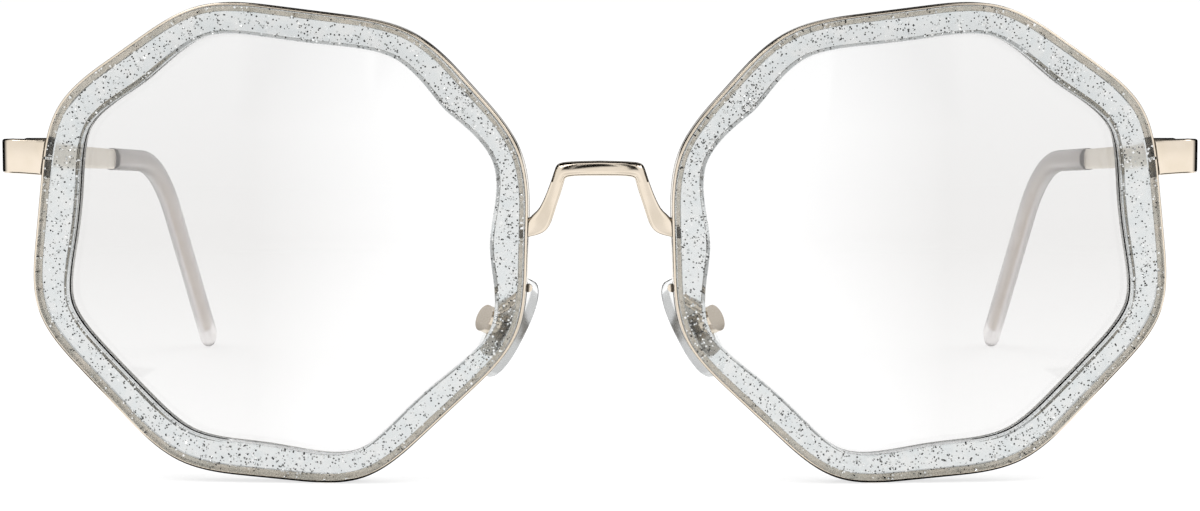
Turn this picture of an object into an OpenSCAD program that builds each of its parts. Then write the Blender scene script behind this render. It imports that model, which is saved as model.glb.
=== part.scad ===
// Eyeglasses with irregular eight-sided rims: a thin metal rim wire round a clear acetate ring,
// a metal bridge, end pieces, silicone nose pads and folding temples with clear sleeves.
// Millimetres. +Z is up, the front faces -Y and the wearer's left is +X.
// The origin is on the ground, in the middle of the glasses' width and depth.

/* [Rims] */
// Gap between the two rims at the nose
rim_gap = 17.5; // [16.5:0.5:20]
// Width of the rim's eight-sided outline, before its corners are rounded
rim_w = 61.5; // [59:0.5:64]
// Height of the rim's eight-sided outline, before its corners are rounded
rim_h = 59.8; // [57:0.2:62]
// Length of each side that a corner's rounding takes up
corner_round = 9.6; // [8:0.2:10.4]
// Turn of each rim back from the nose, in degrees
wrap = 4; // [2:0.5:6]
// Thickness of the rim wire's outer band
band_t = 0.45; // [0.4:0.05:0.6]
// Depth of the rim wire's outer band, front to back
band_d = 2.6; // [2.2:0.1:3]
// Reach of the wire's inner tongue into the acetate ring
tongue_reach = 0.75; // [0.5:0.05:0.9]
// Thickness of the wire's inner tongue, front to back
tongue_d = 1.1; // [0.8:0.1:1.4]
// Height of the slit where the wire opens to take the ring and the lens
slit = 0.35; // [0.2:0.05:0.5]

/* [Acetate rings and lenses] */
// Mean width of the rim, wire and acetate together
ring_w = 4.1; // [3.8:0.1:4.6]
// Depth of the acetate ring, front to back
ring_d = 4.2; // [3.8:0.1:4.8]
// Bevel on the acetate ring's edges
ring_bevel = 0.3; // [0.1:0.05:0.4]
// Thickness of the lens
lens_t = 1.8; // [1.4:0.1:2.2]
// Radius of the lens's curve
lens_curve = 200; // [150:10:300]
// Reach of the lens's sharp edge into the acetate ring
lens_edge = 0.7; // [0.5:0.05:0.8]

/* [Bridge] */
// Height of the top of the bridge's bar above the ground
bridge_top = 39.5; // [38:0.1:41]
// Height of the lowest point of the bridge's legs above the ground
bridge_low = 30.1; // [29:0.1:31.5]
// Depth of the bridge bar's section
bridge_d = 2; // [1.6:0.1:2.2]
// How far the bar's middle stands in front of its ends
bridge_bow = 0.4; // [0:0.1:0.6]
// Depth of the bridge's flat legs
leg_d = 1.3; // [1:0.1:1.5]

/* [End pieces and rim locks] */
// Reach of the end piece out from the rim
end_reach = 5.3; // [4.8:0.1:7]
// Thickness of the end piece's strip
end_t = 1.3; // [1.1:0.1:1.4]
// Height of the end piece at the rim
end_h_rim = 4.2; // [4:0.05:4.6]
// Height of the end piece where it turns back
end_h_bend = 4; // [3.9:0.05:4.4]
// Rise of the end piece from the rim to where it turns back
end_rise = 0.15; // [0:0.05:0.6]
// Outer radius of the end piece's bend
end_bend_r = 2.2; // [1.8:0.1:2.6]
// Height of the end piece's middle at the rim above the ground
end_z = 39.6; // [38.8:0.05:40.2]
// Width of the rim lock's block
lock_w = 2.6; // [2.4:0.05:2.65]
// Depth of the rim lock's block
lock_d = 2.4; // [2.4:0.1:2.8]
// Height of both halves of the rim lock
lock_h = 4.2; // [4:0.1:4.4]
// Radius of the rim lock's screw
lock_screw_r = 0.5; // [0.4:0.05:0.55]

/* [Hinges] */
// Length of the end piece's leg behind its bend
hinge_back = 4.6; // [4.5:0.1:6]
// Height of the hinge's three barrels together
hinge_h = 3; // [2.8:0.1:3.4]
// Outer radius of a hinge barrel
barrel_r = 1.1; // [1:0.05:1.2]
// Radius of the hinge screw
hinge_screw_r = 0.5; // [0.4:0.05:0.6]
// Radial clearance of the screws in their bores
screw_fit = 0.04; // [0.02:0.01:0.08]
// Thickness of a hinge leaf
leaf_t = 0.8; // [0.6:0.05:0.9]
// Length of a hinge leaf
leaf_l = 3; // [2.4:0.1:3.1]

/* [Temples] */
// Length of the temple from the hinge to its bend
bend_at = 78; // [72:1:84]
// Radius of the temple's bend
bend_r = 46; // [36:1:54]
// Fall of the temple's straight part, in degrees
temple_slope = 4.4; // [3:0.2:5.4]
// Fall of the temple behind its bend, in degrees
drop = 38; // [35:1:42]
// Lean of the temple towards the head, in degrees
lean = 3.9; // [2:0.1:5]
// Height of the temple bar at the hinge
temple_h = 3.8; // [3.4:0.1:4]
// Height of the temple bar where the sleeve starts
bar_h = 2.8; // [2.4:0.1:3.2]
// Thickness of the temple bar where the sleeve starts
bar_t = 1.1; // [1:0.1:1.3]
// Thickness of the flat wire inside the sleeve
core_w = 0.9; // [0.7:0.05:0.9]
// Height of the flat wire inside the sleeve
core_h = 1.5; // [1.2:0.1:1.7]
// Length of the temple in front of the sleeve
sleeve_at = 59; // [50:1:66]
// Depth of the sleeve's wide mouth
mouth_l = 7; // [4:0.5:8]
// Thickness of the sleeve
sleeve_t = 2.6; // [2.4:0.1:3]
// Height of the sleeve at its mouth
sleeve_h = 3.1; // [3:0.1:3.6]
// Height of the sleeve near its end
sleeve_end_h = 3.8; // [3.4:0.1:4.6]
// Length of the sleeve past the end of its wire
sleeve_past = 5; // [4:0.5:8]

/* [Nose pads] */
// Distance of a pad's middle from the centre line
pad_x = 11.5; // [11:0.1:12.5]
// Distance of a pad's middle behind the front of the rims
pad_y = 10.5; // [10:0.1:11.5]
// Height of a pad's middle above the ground
pad_z = 18.2; // [17.6:0.1:19]
// Lean of a pad's top towards the nose, in degrees
pad_tilt = 28; // [24:1:32]
// Turn of a pad's face towards the wearer, in degrees
pad_splay = 30; // [26:1:34]
// Length of a pad
pad_l = 13.2; // [12:0.2:14]
// Width of a pad
pad_w = 7.4; // [7:0.2:8]
// Thickness of a pad
pad_t = 2.6; // [2.4:0.1:2.8]
// Radius of the round pad box
box_r = 1.7; // [1.65:0.05:2]
// Depth of the pad box
box_d = 1.9; // [1.8:0.05:2.2]
// Gap between a pad's back and its box, which lets the pad rock
box_gap = 0.5; // [0.45:0.05:0.7]
// Radius of the pad screw
pad_screw_r = 0.35; // [0.3:0.05:0.4]
// Radius of the rounded lug that the pad rocks on
lug_r = 0.7; // [0.65:0.05:0.7]
// Width of the lug
lug_w = 1.2; // [1:0.1:1.3]
// Radius of the pad arm's wire
arm_r = 0.5; // [0.4:0.05:0.55]

/* [Hidden] */
$fn = 48;

// Gap between pieces that are brazed, glued or pressed together
seat = 0.03;
// Gap between the wire's tongue and the acetate ring's outer groove
groove_fit = 0.05;
// Gap between the lens's sharp edge and the acetate ring's inner groove
lens_fit = 0.1;
// Running gap between moving parts of a hinge
run = 0.05;

// The rim's corners as shares of half its width and half its height, from the upper nose corner
// over the top and round to the lower nose corner
corner_shares = [
    [-1, 0.38], [-0.55, 0.89], [0.31, 1], [0.91, 0.57],
    [1, -0.3], [0.42, -0.93], [-0.35, -1], [-0.98, -0.39]
];
// How far the ring's pull on its wavy inner edge departs from its mean width,
// at each of those corners and at the middle of the side after it
ring_wave = [
    -1.6, 0.7, -0.8, 0, -0.7, 1.1, 0, 1.3,
    -0.2, -0.3, 0, 0.2, -1.1, 0.2, -1.8, 1.4
];

// Vector and curve functions

function unit(v) = v / norm(v);

function flat(lists) = [for (l = lists) each l];

function spline_at(a, b, c, d, t) =
    ((1 - t) ^ 3 * a + (3 * t ^ 3 - 6 * t ^ 2 + 4) * b
     + (-3 * t ^ 3 + 3 * t ^ 2 + 3 * t + 1) * c + t ^ 3 * d) / 6;

function around(p, i) = p[(i + len(p)) % len(p)];

// Smooth closed curve that the points pull on, with so many steps for each point
function closed_curve(p, steps) = [
    for (i = [0 : len(p) - 1], j = [0 : steps - 1])
        spline_at(around(p, i - 1), p[i], around(p, i + 1), around(p, i + 2), j / steps)
];

// Smooth open curve that the points pull on, which starts and ends on the first and last point
function open_curve(p, steps) =
    let (q = concat([2 * p[0] - p[1]], p, [2 * p[len(p) - 1] - p[len(p) - 2]]))
    [for (i = [1 : len(q) - 3], j = [0 : steps - (i == len(q) - 3 ? 0 : 1)])
        spline_at(q[i - 1], q[i], q[i + 1], q[i + 2], j / steps)];

// Each corner with a point at either side of it, so that the curve rounds it off
function rounding(p, r) = flat([
    for (i = [0 : len(p) - 1])
        [p[i] + r * unit(around(p, i - 1) - p[i]), p[i], p[i] + r * unit(around(p, i + 1) - p[i])]
]);

// Oval to rounded-square section: squareness 2 is an ellipse
function oval(w, h, squareness, sides) = [
    for (i = [0 : sides - 1])
        let (a = 360 * i / sides)
        [w / 2 * sign(cos(a)) * abs(cos(a)) ^ (2 / squareness),
         h / 2 * sign(sin(a)) * abs(sin(a)) ^ (2 / squareness)]
];

// Section carried to a place, square to the direction that the path runs in
function carried(section, place, along, side = undef) =
    let (s = is_undef(side) ? unit(cross(along, [0, 0, 1])) : side, u = cross(s, unit(along)))
    [for (q = section) place + q[0] * s + q[1] * u];

// Solid skin over a row of rings, closed on itself or capped at its two ends
module skin(rings, closed = false) {
    count = len(rings);
    sides = len(rings[0]);
    last = closed ? count - 1 : count - 2;
    walls = [
        for (i = [0 : last], j = [0 : sides - 1])
            let (a = i * sides + j, b = i * sides + (j + 1) % sides,
                 c = (i + 1) % count * sides + j, d = (i + 1) % count * sides + (j + 1) % sides)
            each [[a, b, d], [a, d, c]]
    ];
    caps = closed ? [] : [
        [for (j = [sides - 1 : -1 : 0]) j],
        [for (j = [0 : sides - 1]) (count - 1) * sides + j]
    ];
    polyhedron(points = flat(rings), faces = concat(walls, caps));
}

// Rim outline

rim_corners = [for (s = corner_shares) [s[0] * rim_w / 2, s[1] * rim_h / 2]];
steps_per_point = 3;
rim_line = closed_curve(rounding(rim_corners, corner_round), steps_per_point);
rim_count = len(rim_line);
rim_out = [
    for (i = [0 : rim_count - 1])
        let (t = around(rim_line, i + 1) - around(rim_line, i - 1)) unit([-t[1], t[0]])
];
// Place along the outline in half sides from the first corner, then the ring's width there
half_sides = len(ring_wave);
function ring_width(i) =
    let (h = (2 * (i / steps_per_point - 1) / 3 + half_sides) % half_sides, k = floor(h))
    ring_w + spline_at(around(ring_wave, k - 1), around(ring_wave, k),
                       around(ring_wave, k + 1), around(ring_wave, k + 2), h - k);

// Point on the rim at one step of its outline, so far outside the outline and so far back
function rim_point(i, out, back) =
    let (p = rim_line[i] + out * rim_out[i]) [p[0], back, p[1]];
function lens_rim(i) = rim_line[i] - ring_width(i) * rim_out[i];

nose_side = min([for (p = rim_line) p[0]]);
rim_low = min([for (p = rim_line) p[1]]);
// Where the outline crosses a height of its own, on its nose side (-1) or its outer side (1)
function outline_x(z, side) = [
    for (i = [0 : rim_count - 1])
        let (a = rim_line[i], b = around(rim_line, i + 1))
        if ((a[1] - z) * (b[1] - z) <= 0 && a[1] != b[1] && a[0] * side > 0)
            a[0] + (b[0] - a[0]) * (z - a[1]) / (b[1] - a[1])
][0];
// Distance of the rim's outer edge from its nose side, at a height above the ground
function edge_from_nose(z, side) = outline_x(z + rim_low, side) - nose_side;
// Place in plan, so far out from the rim's nose side along the turned rim and so far behind its front
function turned(d, back) =
    [rim_gap / 2 + d * cos(wrap) - back * sin(wrap), d * sin(wrap) + back * cos(wrap)];

module on_rim() {
    translate([rim_gap / 2, 0, -rim_low]) rotate([0, 0, wrap]) translate([-nose_side, 0, 0]) children();
}

// How far a piece runs past its own end before something else trims it
overlap = 2;

// Upright prism of the rim's outline, grown by the seat gap, which trims what butts on the rim
module rim_space() {
    on_rim() rotate([90, 0, 0]) translate([0, 0, -2 * ring_d])
        linear_extrude(4 * ring_d)
            polygon([for (i = [0 : rim_count - 1]) rim_line[i] + seat * rim_out[i]]);
}

// Rim wire, acetate ring and lens

mid_d = ring_d / 2;
band_front = mid_d - band_d / 2;
band_back = mid_d + band_d / 2;
// Rounding of the outer band's front and back edges
wire_round = 0.12;

function wire_ring(i) = [
    for (q = [
        [0, band_back - wire_round], [-wire_round, band_back], [-band_t, band_back],
        [-band_t, mid_d + tongue_d / 2], [-band_t - tongue_reach, mid_d + tongue_d / 2],
        [-band_t - tongue_reach, mid_d - tongue_d / 2], [-band_t, mid_d - tongue_d / 2],
        [-band_t, band_front], [-wire_round, band_front], [0, band_front + wire_round]
    ]) rim_point(i, q[0], q[1])
];

module rim_wire() {
    color("#CDBBA0") difference() {
        on_rim() skin([for (i = [0 : rim_count - 1]) wire_ring(i)], closed = true);
        translate([end_at[0] - 2 * lock_w, -ring_d, end_z - slit / 2])
            cube([4 * lock_w, 6 * ring_d, slit]);
    }
}

lens_mean_r = (rim_w + rim_h) / 4 - ring_w;
function bow(r) = lens_curve - sqrt(lens_curve ^ 2 - r ^ 2);
function lens_y(p) = mid_d + bow(norm(p)) - bow(lens_mean_r);

function acetate_ring_section(i) =
    let (
        outer = -band_t - groove_fit,
        slot = -band_t - tongue_reach - groove_fit,
        half_slot = tongue_d / 2 + groove_fit,
        inner = -ring_width(i),
        notch = inner + lens_edge + lens_fit,
        y = lens_y(lens_rim(i)),
        half_notch = lens_t / 2 + lens_fit
    )
    [for (q = [
        [inner + ring_bevel, 0], [outer - ring_bevel, 0], [outer, ring_bevel],
        [outer, mid_d - half_slot], [slot, mid_d - half_slot],
        [slot, mid_d + half_slot], [outer, mid_d + half_slot],
        [outer, ring_d - ring_bevel], [outer - ring_bevel, ring_d], [inner + ring_bevel, ring_d],
        [inner, ring_d - ring_bevel], [inner, y + half_notch], [notch, y], [inner, y - half_notch],
        [inner, ring_bevel]
    ]) rim_point(i, q[0], q[1])];

module acetate_ring() {
    color("#CDD5D8") on_rim()
        skin([for (i = [0 : rim_count - 1]) acetate_ring_section(i)], closed = true);
}

// One turn of the lens at a share of its size, on its front (-1) or back (1) face
function lens_turn(share, face) = [
    for (i = [0 : rim_count - 1])
        let (p = share * lens_rim(i)) [p[0], lens_y(p) + face * lens_t / 2, p[1]]
];
// A small turn by the lens's middle, all at one depth, which a flat cap closes
function lens_middle(share, face) = [
    for (i = [0 : rim_count - 1])
        let (p = share * lens_rim(i)) [p[0], lens_y([share * lens_mean_r, 0]) + face * lens_t / 2, p[1]]
];
function lens_sharp_edge() = [
    for (i = [0 : rim_count - 1]) rim_point(i, lens_edge - ring_width(i), lens_y(lens_rim(i)))
];

module lens() {
    color("#E9EDEE", 0.4) on_rim() skin([
        lens_middle(0.1, 1), lens_turn(0.4, 1), lens_turn(0.7, 1), lens_turn(1, 1),
        lens_sharp_edge(),
        lens_turn(1, -1), lens_turn(0.7, -1), lens_turn(0.4, -1), lens_middle(0.1, -1)
    ]);
}

// Bridge: its two edges as seen from the front, from the rim up the leg and from the shoulder to the
// middle of the bar, as shares of the way out to the rim and of the way up from its lowest point

leg_outer_edge = [
    [1.14, 0.15], [1, 0.223], [0.937, 0.297], [0.863, 0.35], [0.806, 0.435], [0.737, 0.579],
    [0.68, 0.727]
];
leg_inner_edge = [
    [1.14, -0.01], [0.8, 0.035], [0.69, 0.15], [0.634, 0.308], [0.589, 0.446], [0.539, 0.579],
    [0.495, 0.724]
];
bar_upper_edge = [[0.68, 0.727], [0.63, 0.87], [0.595, 0.97], [0.445, 0.987], [0.25, 0.995], [0, 1]];
bar_lower_edge = [
    [0.495, 0.724], [0.486, 0.759], [0.469, 0.786], [0.377, 0.803], [0.217, 0.809], [0, 0.809]
];

// How far the bar's middle stands in front of the rims
bar_ahead = 0.3;
// How far the tops of the legs stand behind the bar's ends
leg_behind = 0.25;
// Squareness of the flat legs and of the rounder bar
leg_square = 6;
bar_square = 2.6;

bar_y = bridge_d / 2 - bar_ahead;
leg_top_y = bar_y + bridge_bow + leg_behind;
function mirrored(p) = [for (i = [len(p) - 1 : -1 : 0]) [-p[i][0], p[i][1]]];
function whole(half) = concat(half, [for (i = [1 : len(half) - 1]) mirrored(half)[i]]);
function bridge_edge(shares) =
    open_curve([
        for (s = shares) [s[0] * rim_gap / 2, bridge_low + s[1] * (bridge_top - bridge_low)]
    ], 2);
leg_outer = bridge_edge(leg_outer_edge);
leg_inner = bridge_edge(leg_inner_edge);
bar_upper = bridge_edge(whole(bar_upper_edge));
bar_lower = bridge_edge(whole(bar_lower_edge));
leg_last = len(leg_outer) - 1;
shoulder_x = bar_upper[0][0];

// Section between a point on the upper edge and one on the lower, at its own depth
function edge_ring(upper, lower, y, depth, squareness) =
    let (middle = (upper + lower) / 2, half = (upper - lower) / 2)
    [for (q = oval(depth, 2, squareness, 12))
        [middle[0] + q[1] * half[0], y + q[0], middle[1] + q[1] * half[1]]];
function leg_ring(i, side) =
    edge_ring([side * leg_outer[i][0], leg_outer[i][1]], [side * leg_inner[i][0], leg_inner[i][1]],
              mid_d + (leg_top_y - mid_d) * i / leg_last, leg_d, leg_square);
function bar_ring(i) =
    edge_ring(bar_upper[i], bar_lower[i], bar_y + bridge_bow * (bar_upper[i][0] / shoulder_x) ^ 2,
              bridge_d, bar_square);

module bridge() {
    color("#E6D3B8") difference() {
        skin(concat(
            [for (i = [0 : leg_last]) leg_ring(i, 1)],
            [for (i = [0 : len(bar_upper) - 1]) bar_ring(i)],
            [for (i = [leg_last : -1 : 0]) leg_ring(i, -1)]
        ));
        rim_space();
        mirror([1, 0, 0]) rim_space();
    }
}

// End pieces and rim locks

end_edge = edge_from_nose(end_z, 1);
end_at = turned(end_edge, band_front);
// How far the end piece's face stands behind the front of the rim's band
end_behind = 0.1;
end_front_y = end_at[1] + end_behind;
end_back_y = end_front_y + end_t;
side_x = end_at[0] + end_reach;
inner_x = side_x - end_t;
hinge_y = end_front_y + end_bend_r + hinge_back;
end_bend_z = end_z + end_rise;
// The hinge sits a little low, so that nothing of it shows over the end piece
hinge_drop = 0.2;
hinge_z = end_bend_z - hinge_drop;
// Reach of the head of a lock screw or hinge screw past its shank, and the slot across it
head_over = 0.35;
slot_w = 0.2;
slot_deep = 0.2;

// The end piece seen from above: a strip out from the rim that turns back to the hinge
module end_piece_plan() {
    translate([end_at[0] - overlap, end_front_y]) square([end_reach + overlap - end_bend_r, end_t]);
    intersection() {
        translate([side_x - end_bend_r, end_front_y + end_bend_r]) difference() {
            circle(end_bend_r);
            circle(end_bend_r - end_t);
        }
        translate([side_x - end_bend_r, end_front_y]) square(end_bend_r);
    }
    translate([inner_x, end_front_y + end_bend_r]) square([end_t, hinge_back - run]);
}

// The end piece seen from the front: its height falls from the rim to the bend
module end_piece_face() {
    polygon([
        [end_at[0] - overlap, end_z - end_h_rim / 2],
        [side_x - end_bend_r, end_bend_z - end_h_bend / 2],
        [side_x + overlap, end_bend_z - end_h_bend / 2],
        [side_x + overlap, end_bend_z + end_h_bend / 2],
        [side_x - end_bend_r, end_bend_z + end_h_bend / 2],
        [end_at[0] - overlap, end_z + end_h_rim / 2]
    ]);
}

module end_piece() {
    color("#EAD9BF") difference() {
        intersection() {
            linear_extrude(2 * end_z) end_piece_plan();
            translate([0, 2 * hinge_y, 0]) rotate([90, 0, 0])
                linear_extrude(3 * hinge_y) end_piece_face();
        }
        rim_space();
    }
}

// Gap between the two halves, which the screw draws together
lock_gap = 0.1;
// How far the screw stands outside the middle of the block, away from the rim
lock_screw_out = 0.15;
lock_screw_at = [end_at[0] + lock_w / 2 + lock_screw_out, end_back_y + seat + lock_d / 2];
lock_head_r = lock_screw_r + head_over;
lock_head_h = 0.6;
// Distance of the lock's underside below the end piece's middle, where the face in front hides it
lock_low = 2;
lock_bottom = end_z - lock_low;
lock_top = lock_bottom + lock_h;

module lock_half(bottom, top) {
    difference() {
        translate([end_at[0] - overlap, end_back_y + seat, bottom])
            cube([lock_w + overlap, lock_d, top - bottom]);
        rim_space();
        translate([lock_screw_at[0], lock_screw_at[1], bottom - 1])
            cylinder(r = lock_screw_r + screw_fit, h = top - bottom + 2);
    }
}

module lock_upper() {
    color("#D9C7A8") lock_half(end_z + lock_gap / 2, lock_top);
}

module lock_lower() {
    color("#D9C7A8") difference() {
        lock_half(lock_bottom, end_z - lock_gap / 2);
        translate([lock_screw_at[0], lock_screw_at[1], lock_bottom - 1])
            cylinder(r = lock_head_r + run, h = 1 + lock_head_h);
    }
}

module lock_screw() {
    color("#BFB6A6") translate([lock_screw_at[0], lock_screw_at[1], lock_bottom]) difference() {
        union() {
            cylinder(r = lock_head_r, h = lock_head_h - run);
            cylinder(r = lock_screw_r, h = lock_h);
        }
        translate([-2 * lock_head_r, -slot_w / 2, -1]) cube([4 * lock_head_r, slot_w, 1 + slot_deep]);
    }
}

// Hinges: three barrels on one upright screw, the outer two on the end piece

hinge_x = inner_x - barrel_r - run;
barrel_h = hinge_h / 3;
hinge_head_h = 0.35;
// Distance of a leaf's near edge from the hinge's axis, and the reach of the web that joins a
// barrel to it
leaf_near = barrel_r + 3 * run;
web_reach = leaf_near + run;

// One barrel with its web, on the levels 0 to 2 from below, towards the temple (1) or the end piece (-1)
module barrel_level(level, towards) {
    translate([hinge_x, hinge_y, hinge_z - hinge_h / 2 + level * barrel_h + run / 2]) {
        cylinder(r = barrel_r, h = barrel_h - run);
        translate([0, towards > 0 ? 0 : -web_reach, 0])
            cube([inner_x - seat - hinge_x, web_reach, barrel_h - run]);
    }
}

module hinge_half(levels, towards) {
    leaf_y = hinge_y + (towards > 0 ? leaf_near : -leaf_near - leaf_l);
    difference() {
        union() {
            translate([inner_x - seat - leaf_t, leaf_y, hinge_z - hinge_h / 2])
                cube([leaf_t, leaf_l, hinge_h]);
            for (level = levels) barrel_level(level, towards);
        }
        translate([hinge_x, hinge_y, hinge_z - hinge_h])
            cylinder(r = hinge_screw_r + screw_fit, h = 2 * hinge_h);
    }
}

module front_hinge() {
    color("#D9C7A8") hinge_half([0, 2], -1);
}

module temple_hinge() {
    color("#D9C7A8") hinge_half([1], 1);
}

module hinge_screw() {
    color("#BFB6A6") translate([hinge_x, hinge_y, hinge_z - hinge_h / 2]) difference() {
        union() {
            cylinder(r = hinge_screw_r, h = hinge_h);
            translate([0, 0, hinge_h]) cylinder(r = hinge_screw_r + head_over, h = hinge_head_h);
        }
        translate([-barrel_r, -slot_w / 2, hinge_h + hinge_head_h - slot_deep])
            cube([2 * barrel_r, slot_w, 2 * slot_deep]);
    }
}

// Temples: the path runs back from the hinge, down round the ear bend and on to the ground

bend_arc = (drop - temple_slope) * PI / 180 * bend_r;
// Length behind the hinge over which the temple runs straight back, before it leans in
straight_l = 6;
function fall(s) = temple_slope + (drop - temple_slope) * min(1, max(0, (s - bend_at) / bend_arc));
function side_way(s) =
    s <= bend_at ? s * [cos(temple_slope), -sin(temple_slope)]
    : s <= bend_at + bend_arc ?
        side_way(bend_at) + bend_r * [sin(fall(s)) - sin(temple_slope), cos(fall(s)) - cos(temple_slope)]
    : side_way(bend_at + bend_arc) + (s - bend_at - bend_arc) * [cos(drop), -sin(drop)];

temple_start = [side_x - end_t / 2, hinge_y + run, end_bend_z];
function way(s) =
    let (w = side_way(s))
    temple_start + [-tan(lean) * max(0, w[0] - straight_l), w[0], w[1]];
function heading(s) =
    let (sideways = s > straight_l + 1 ? -tan(lean) * cos(fall(s)) : 0)
    s == 0 ? [0, 1, 0] : unit([sideways, cos(fall(s)), -sin(fall(s))]);
function temple_ring(s, w, h, squareness) = carried(oval(w, h, squareness, 12), way(s), heading(s));

// The sleeve's rounded end: distance before the end, and share of the full section there
sleeve_end = [[1.7, 1], [0.6, 0.82], [0.1, 0.5]];
sleeve_foot = min([for (e = sleeve_end) e[0] * sin(drop) - e[1] * sleeve_end_h / 2 * cos(drop)]);
// Length of the whole temple, which ends where the sleeve's foot meets the ground
temple_end =
    bend_at + bend_arc + (end_bend_z + side_way(bend_at + bend_arc)[1] + sleeve_foot) / sin(drop);
core_end = temple_end - sleeve_past;
// Gap between the sleeve's bore and the wire inside it
core_fit = 0.08;
// The neck that fills the sleeve's mouth, a little thinner and lower than the bar in front of it
neck_w = bar_t - 0.05;
neck_h = bar_h - 0.5;

bend_steps = [0, 0.25, 0.5, 0.75, 1];
bend_stops = [for (k = bend_steps) bend_at + k * bend_arc];

module temple() {
    color("#E3D2BC") skin(concat(
        [for (k = [0, 0.1, 0.5, 1])
            temple_ring(k * (sleeve_at - run),
                        end_t + (bar_t - end_t) * k, temple_h + (bar_h - temple_h) * k, 5)],
        [for (s = [sleeve_at - run, sleeve_at + mouth_l - run]) temple_ring(s, neck_w, neck_h, 4)],
        [for (s = concat([sleeve_at + mouth_l - run], bend_stops, [core_end]))
            temple_ring(s, core_w, core_h, 2)]
    ));
}

function sleeve_height(s) =
    sleeve_h + (sleeve_end_h - sleeve_h) * max(0, min(1, (s - bend_at) / (temple_end - bend_at)));
function sleeve_ring(s, share) = temple_ring(s, share * sleeve_t, share * sleeve_height(s), 2.4);
function bore_ring(s, w, h, squareness) = temple_ring(s, w + 2 * core_fit, h + 2 * core_fit, squareness);

module temple_sleeve() {
    color("#B9B4B2") skin(concat(
        [for (s = concat([core_end + core_fit], [for (i = [4 : -1 : 0]) bend_stops[i]],
                         [sleeve_at + mouth_l + core_fit]))
            bore_ring(s, core_w, core_h, 2)],
        [for (s = [sleeve_at + mouth_l + core_fit, sleeve_at]) bore_ring(s, neck_w, neck_h, 4)],
        [sleeve_ring(sleeve_at, 0.94), sleeve_ring(sleeve_at + 0.4, 1)],
        [for (s = concat([(sleeve_at + bend_at) / 2], bend_stops)) sleeve_ring(s, 1)],
        [for (e = sleeve_end) sleeve_ring(temple_end - e[0], e[1])],
        [sleeve_ring(temple_end, 0.25)]
    ));
}

// Nose pads: in their own frame the face looks along -X and the pad's length is along Z

module on_pad() {
    translate([pad_x, pad_y, pad_z]) rotate([0, -pad_tilt, 0]) rotate([0, 0, -pad_splay]) children();
}

function turn_y(v, a) = [v[0] * cos(a) + v[2] * sin(a), v[1], v[2] * cos(a) - v[0] * sin(a)];
function turn_z(v, a) = [v[0] * cos(a) - v[1] * sin(a), v[0] * sin(a) + v[1] * cos(a), v[2]];
function from_pad(v) = [pad_x, pad_y, pad_z] + turn_y(turn_z(v, -pad_splay), -pad_tilt);

pad_back = pad_t / 2;
box_face = pad_back + box_gap;
box_back = box_face + box_d;
lug_x = box_face + lug_r;
// The socket in the box that takes the lug
socket_r = lug_r + 2 * run;
socket_w = lug_w + 2 * run;
// The insert's plate, sunk a little into the pad's back, and the stem that carries its lug
plate_l = 8;
plate_w = 3.8;
plate_t = 0.6;
plate_sunk = 0.2;
plate_x = pad_back - plate_sunk - plate_t;
stem_h = 1.4 * lug_r;
// Squareness of the pad's outline, the share by which it narrows upwards and the share of its
// thickness that its edge keeps
pad_square = 2.4;
pad_narrowing = 0.07;
pad_edge = 0.35;
// Reach of the pad screw's head past its shank, and the head's height
pad_head_over = 0.2;
pad_head_h = 0.3;

// One turn round the pad at a share of its half length, -1 at its bottom and 1 at its top
function pad_ring(k) =
    let (s = (1 - abs(k) ^ pad_square) ^ (1 / pad_square),
         w = pad_w * s * (1 - pad_narrowing * k),
         t = pad_t * (pad_edge + (1 - pad_edge) * s))
    [for (q = oval(t, w, pad_square, 16)) [q[0], q[1], k * pad_l / 2]];

// Upright stadium outline
module stadium(l, w) {
    for (z = [-1, 1]) translate([z * (l - w) / 2, 0]) circle(w / 2);
    square([l - w, w], center = true);
}

module plate(grow, thick) {
    rotate([0, 90, 0]) linear_extrude(thick) stadium(plate_l + 2 * grow, plate_w + 2 * grow);
}

module nose_pad() {
    color("#E4E8EA", 0.8) on_pad() difference() {
        skin([for (k = [0.99, 0.93, 0.8, 0.55, 0.2, -0.2, -0.55, -0.8, -0.93, -0.99]) pad_ring(k)]);
        translate([plate_x - run, 0, 0]) plate(run, pad_t);
    }
}

module screw_bore() {
    translate([lug_x, 2 * box_r, 0]) rotate([90, 0, 0])
        cylinder(r = pad_screw_r + screw_fit, h = 4 * box_r);
}

module pad_insert() {
    color("#B7B2AA") on_pad() difference() {
        union() {
            translate([plate_x, 0, 0]) plate(0, plate_t);
            translate([plate_x, -lug_w / 2, -stem_h / 2]) cube([lug_x - plate_x, lug_w, stem_h]);
            translate([lug_x, lug_w / 2, 0]) rotate([90, 0, 0]) cylinder(r = lug_r, h = lug_w);
        }
        screw_bore();
    }
}

module pad_box() {
    color("#D6C6AE") on_pad() difference() {
        translate([box_face, 0, 0]) rotate([0, 90, 0]) cylinder(r = box_r, h = box_d);
        translate([lug_x, socket_w / 2, 0]) rotate([90, 0, 0]) cylinder(r = socket_r, h = socket_w);
        translate([box_face - 1, -socket_w / 2, -socket_r]) cube([1 + lug_r, socket_w, 2 * socket_r]);
        screw_bore();
    }
}

module pad_screw() {
    color("#BFB6A6") on_pad() translate([lug_x, 0, 0]) rotate([-90, 0, 0]) {
        translate([0, 0, -box_r]) cylinder(r = pad_screw_r, h = 2 * box_r);
        translate([0, 0, box_r]) cylinder(r = pad_screw_r + pad_head_over, h = pad_head_h);
    }
}

// Height of the pad arm's foot above the pad's middle
arm_rise = 5.6;
arm_z = pad_z + arm_rise;
arm_foot = turned(edge_from_nose(arm_z, -1) - (arm_r - band_t) - seat, band_back + seat);
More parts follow.
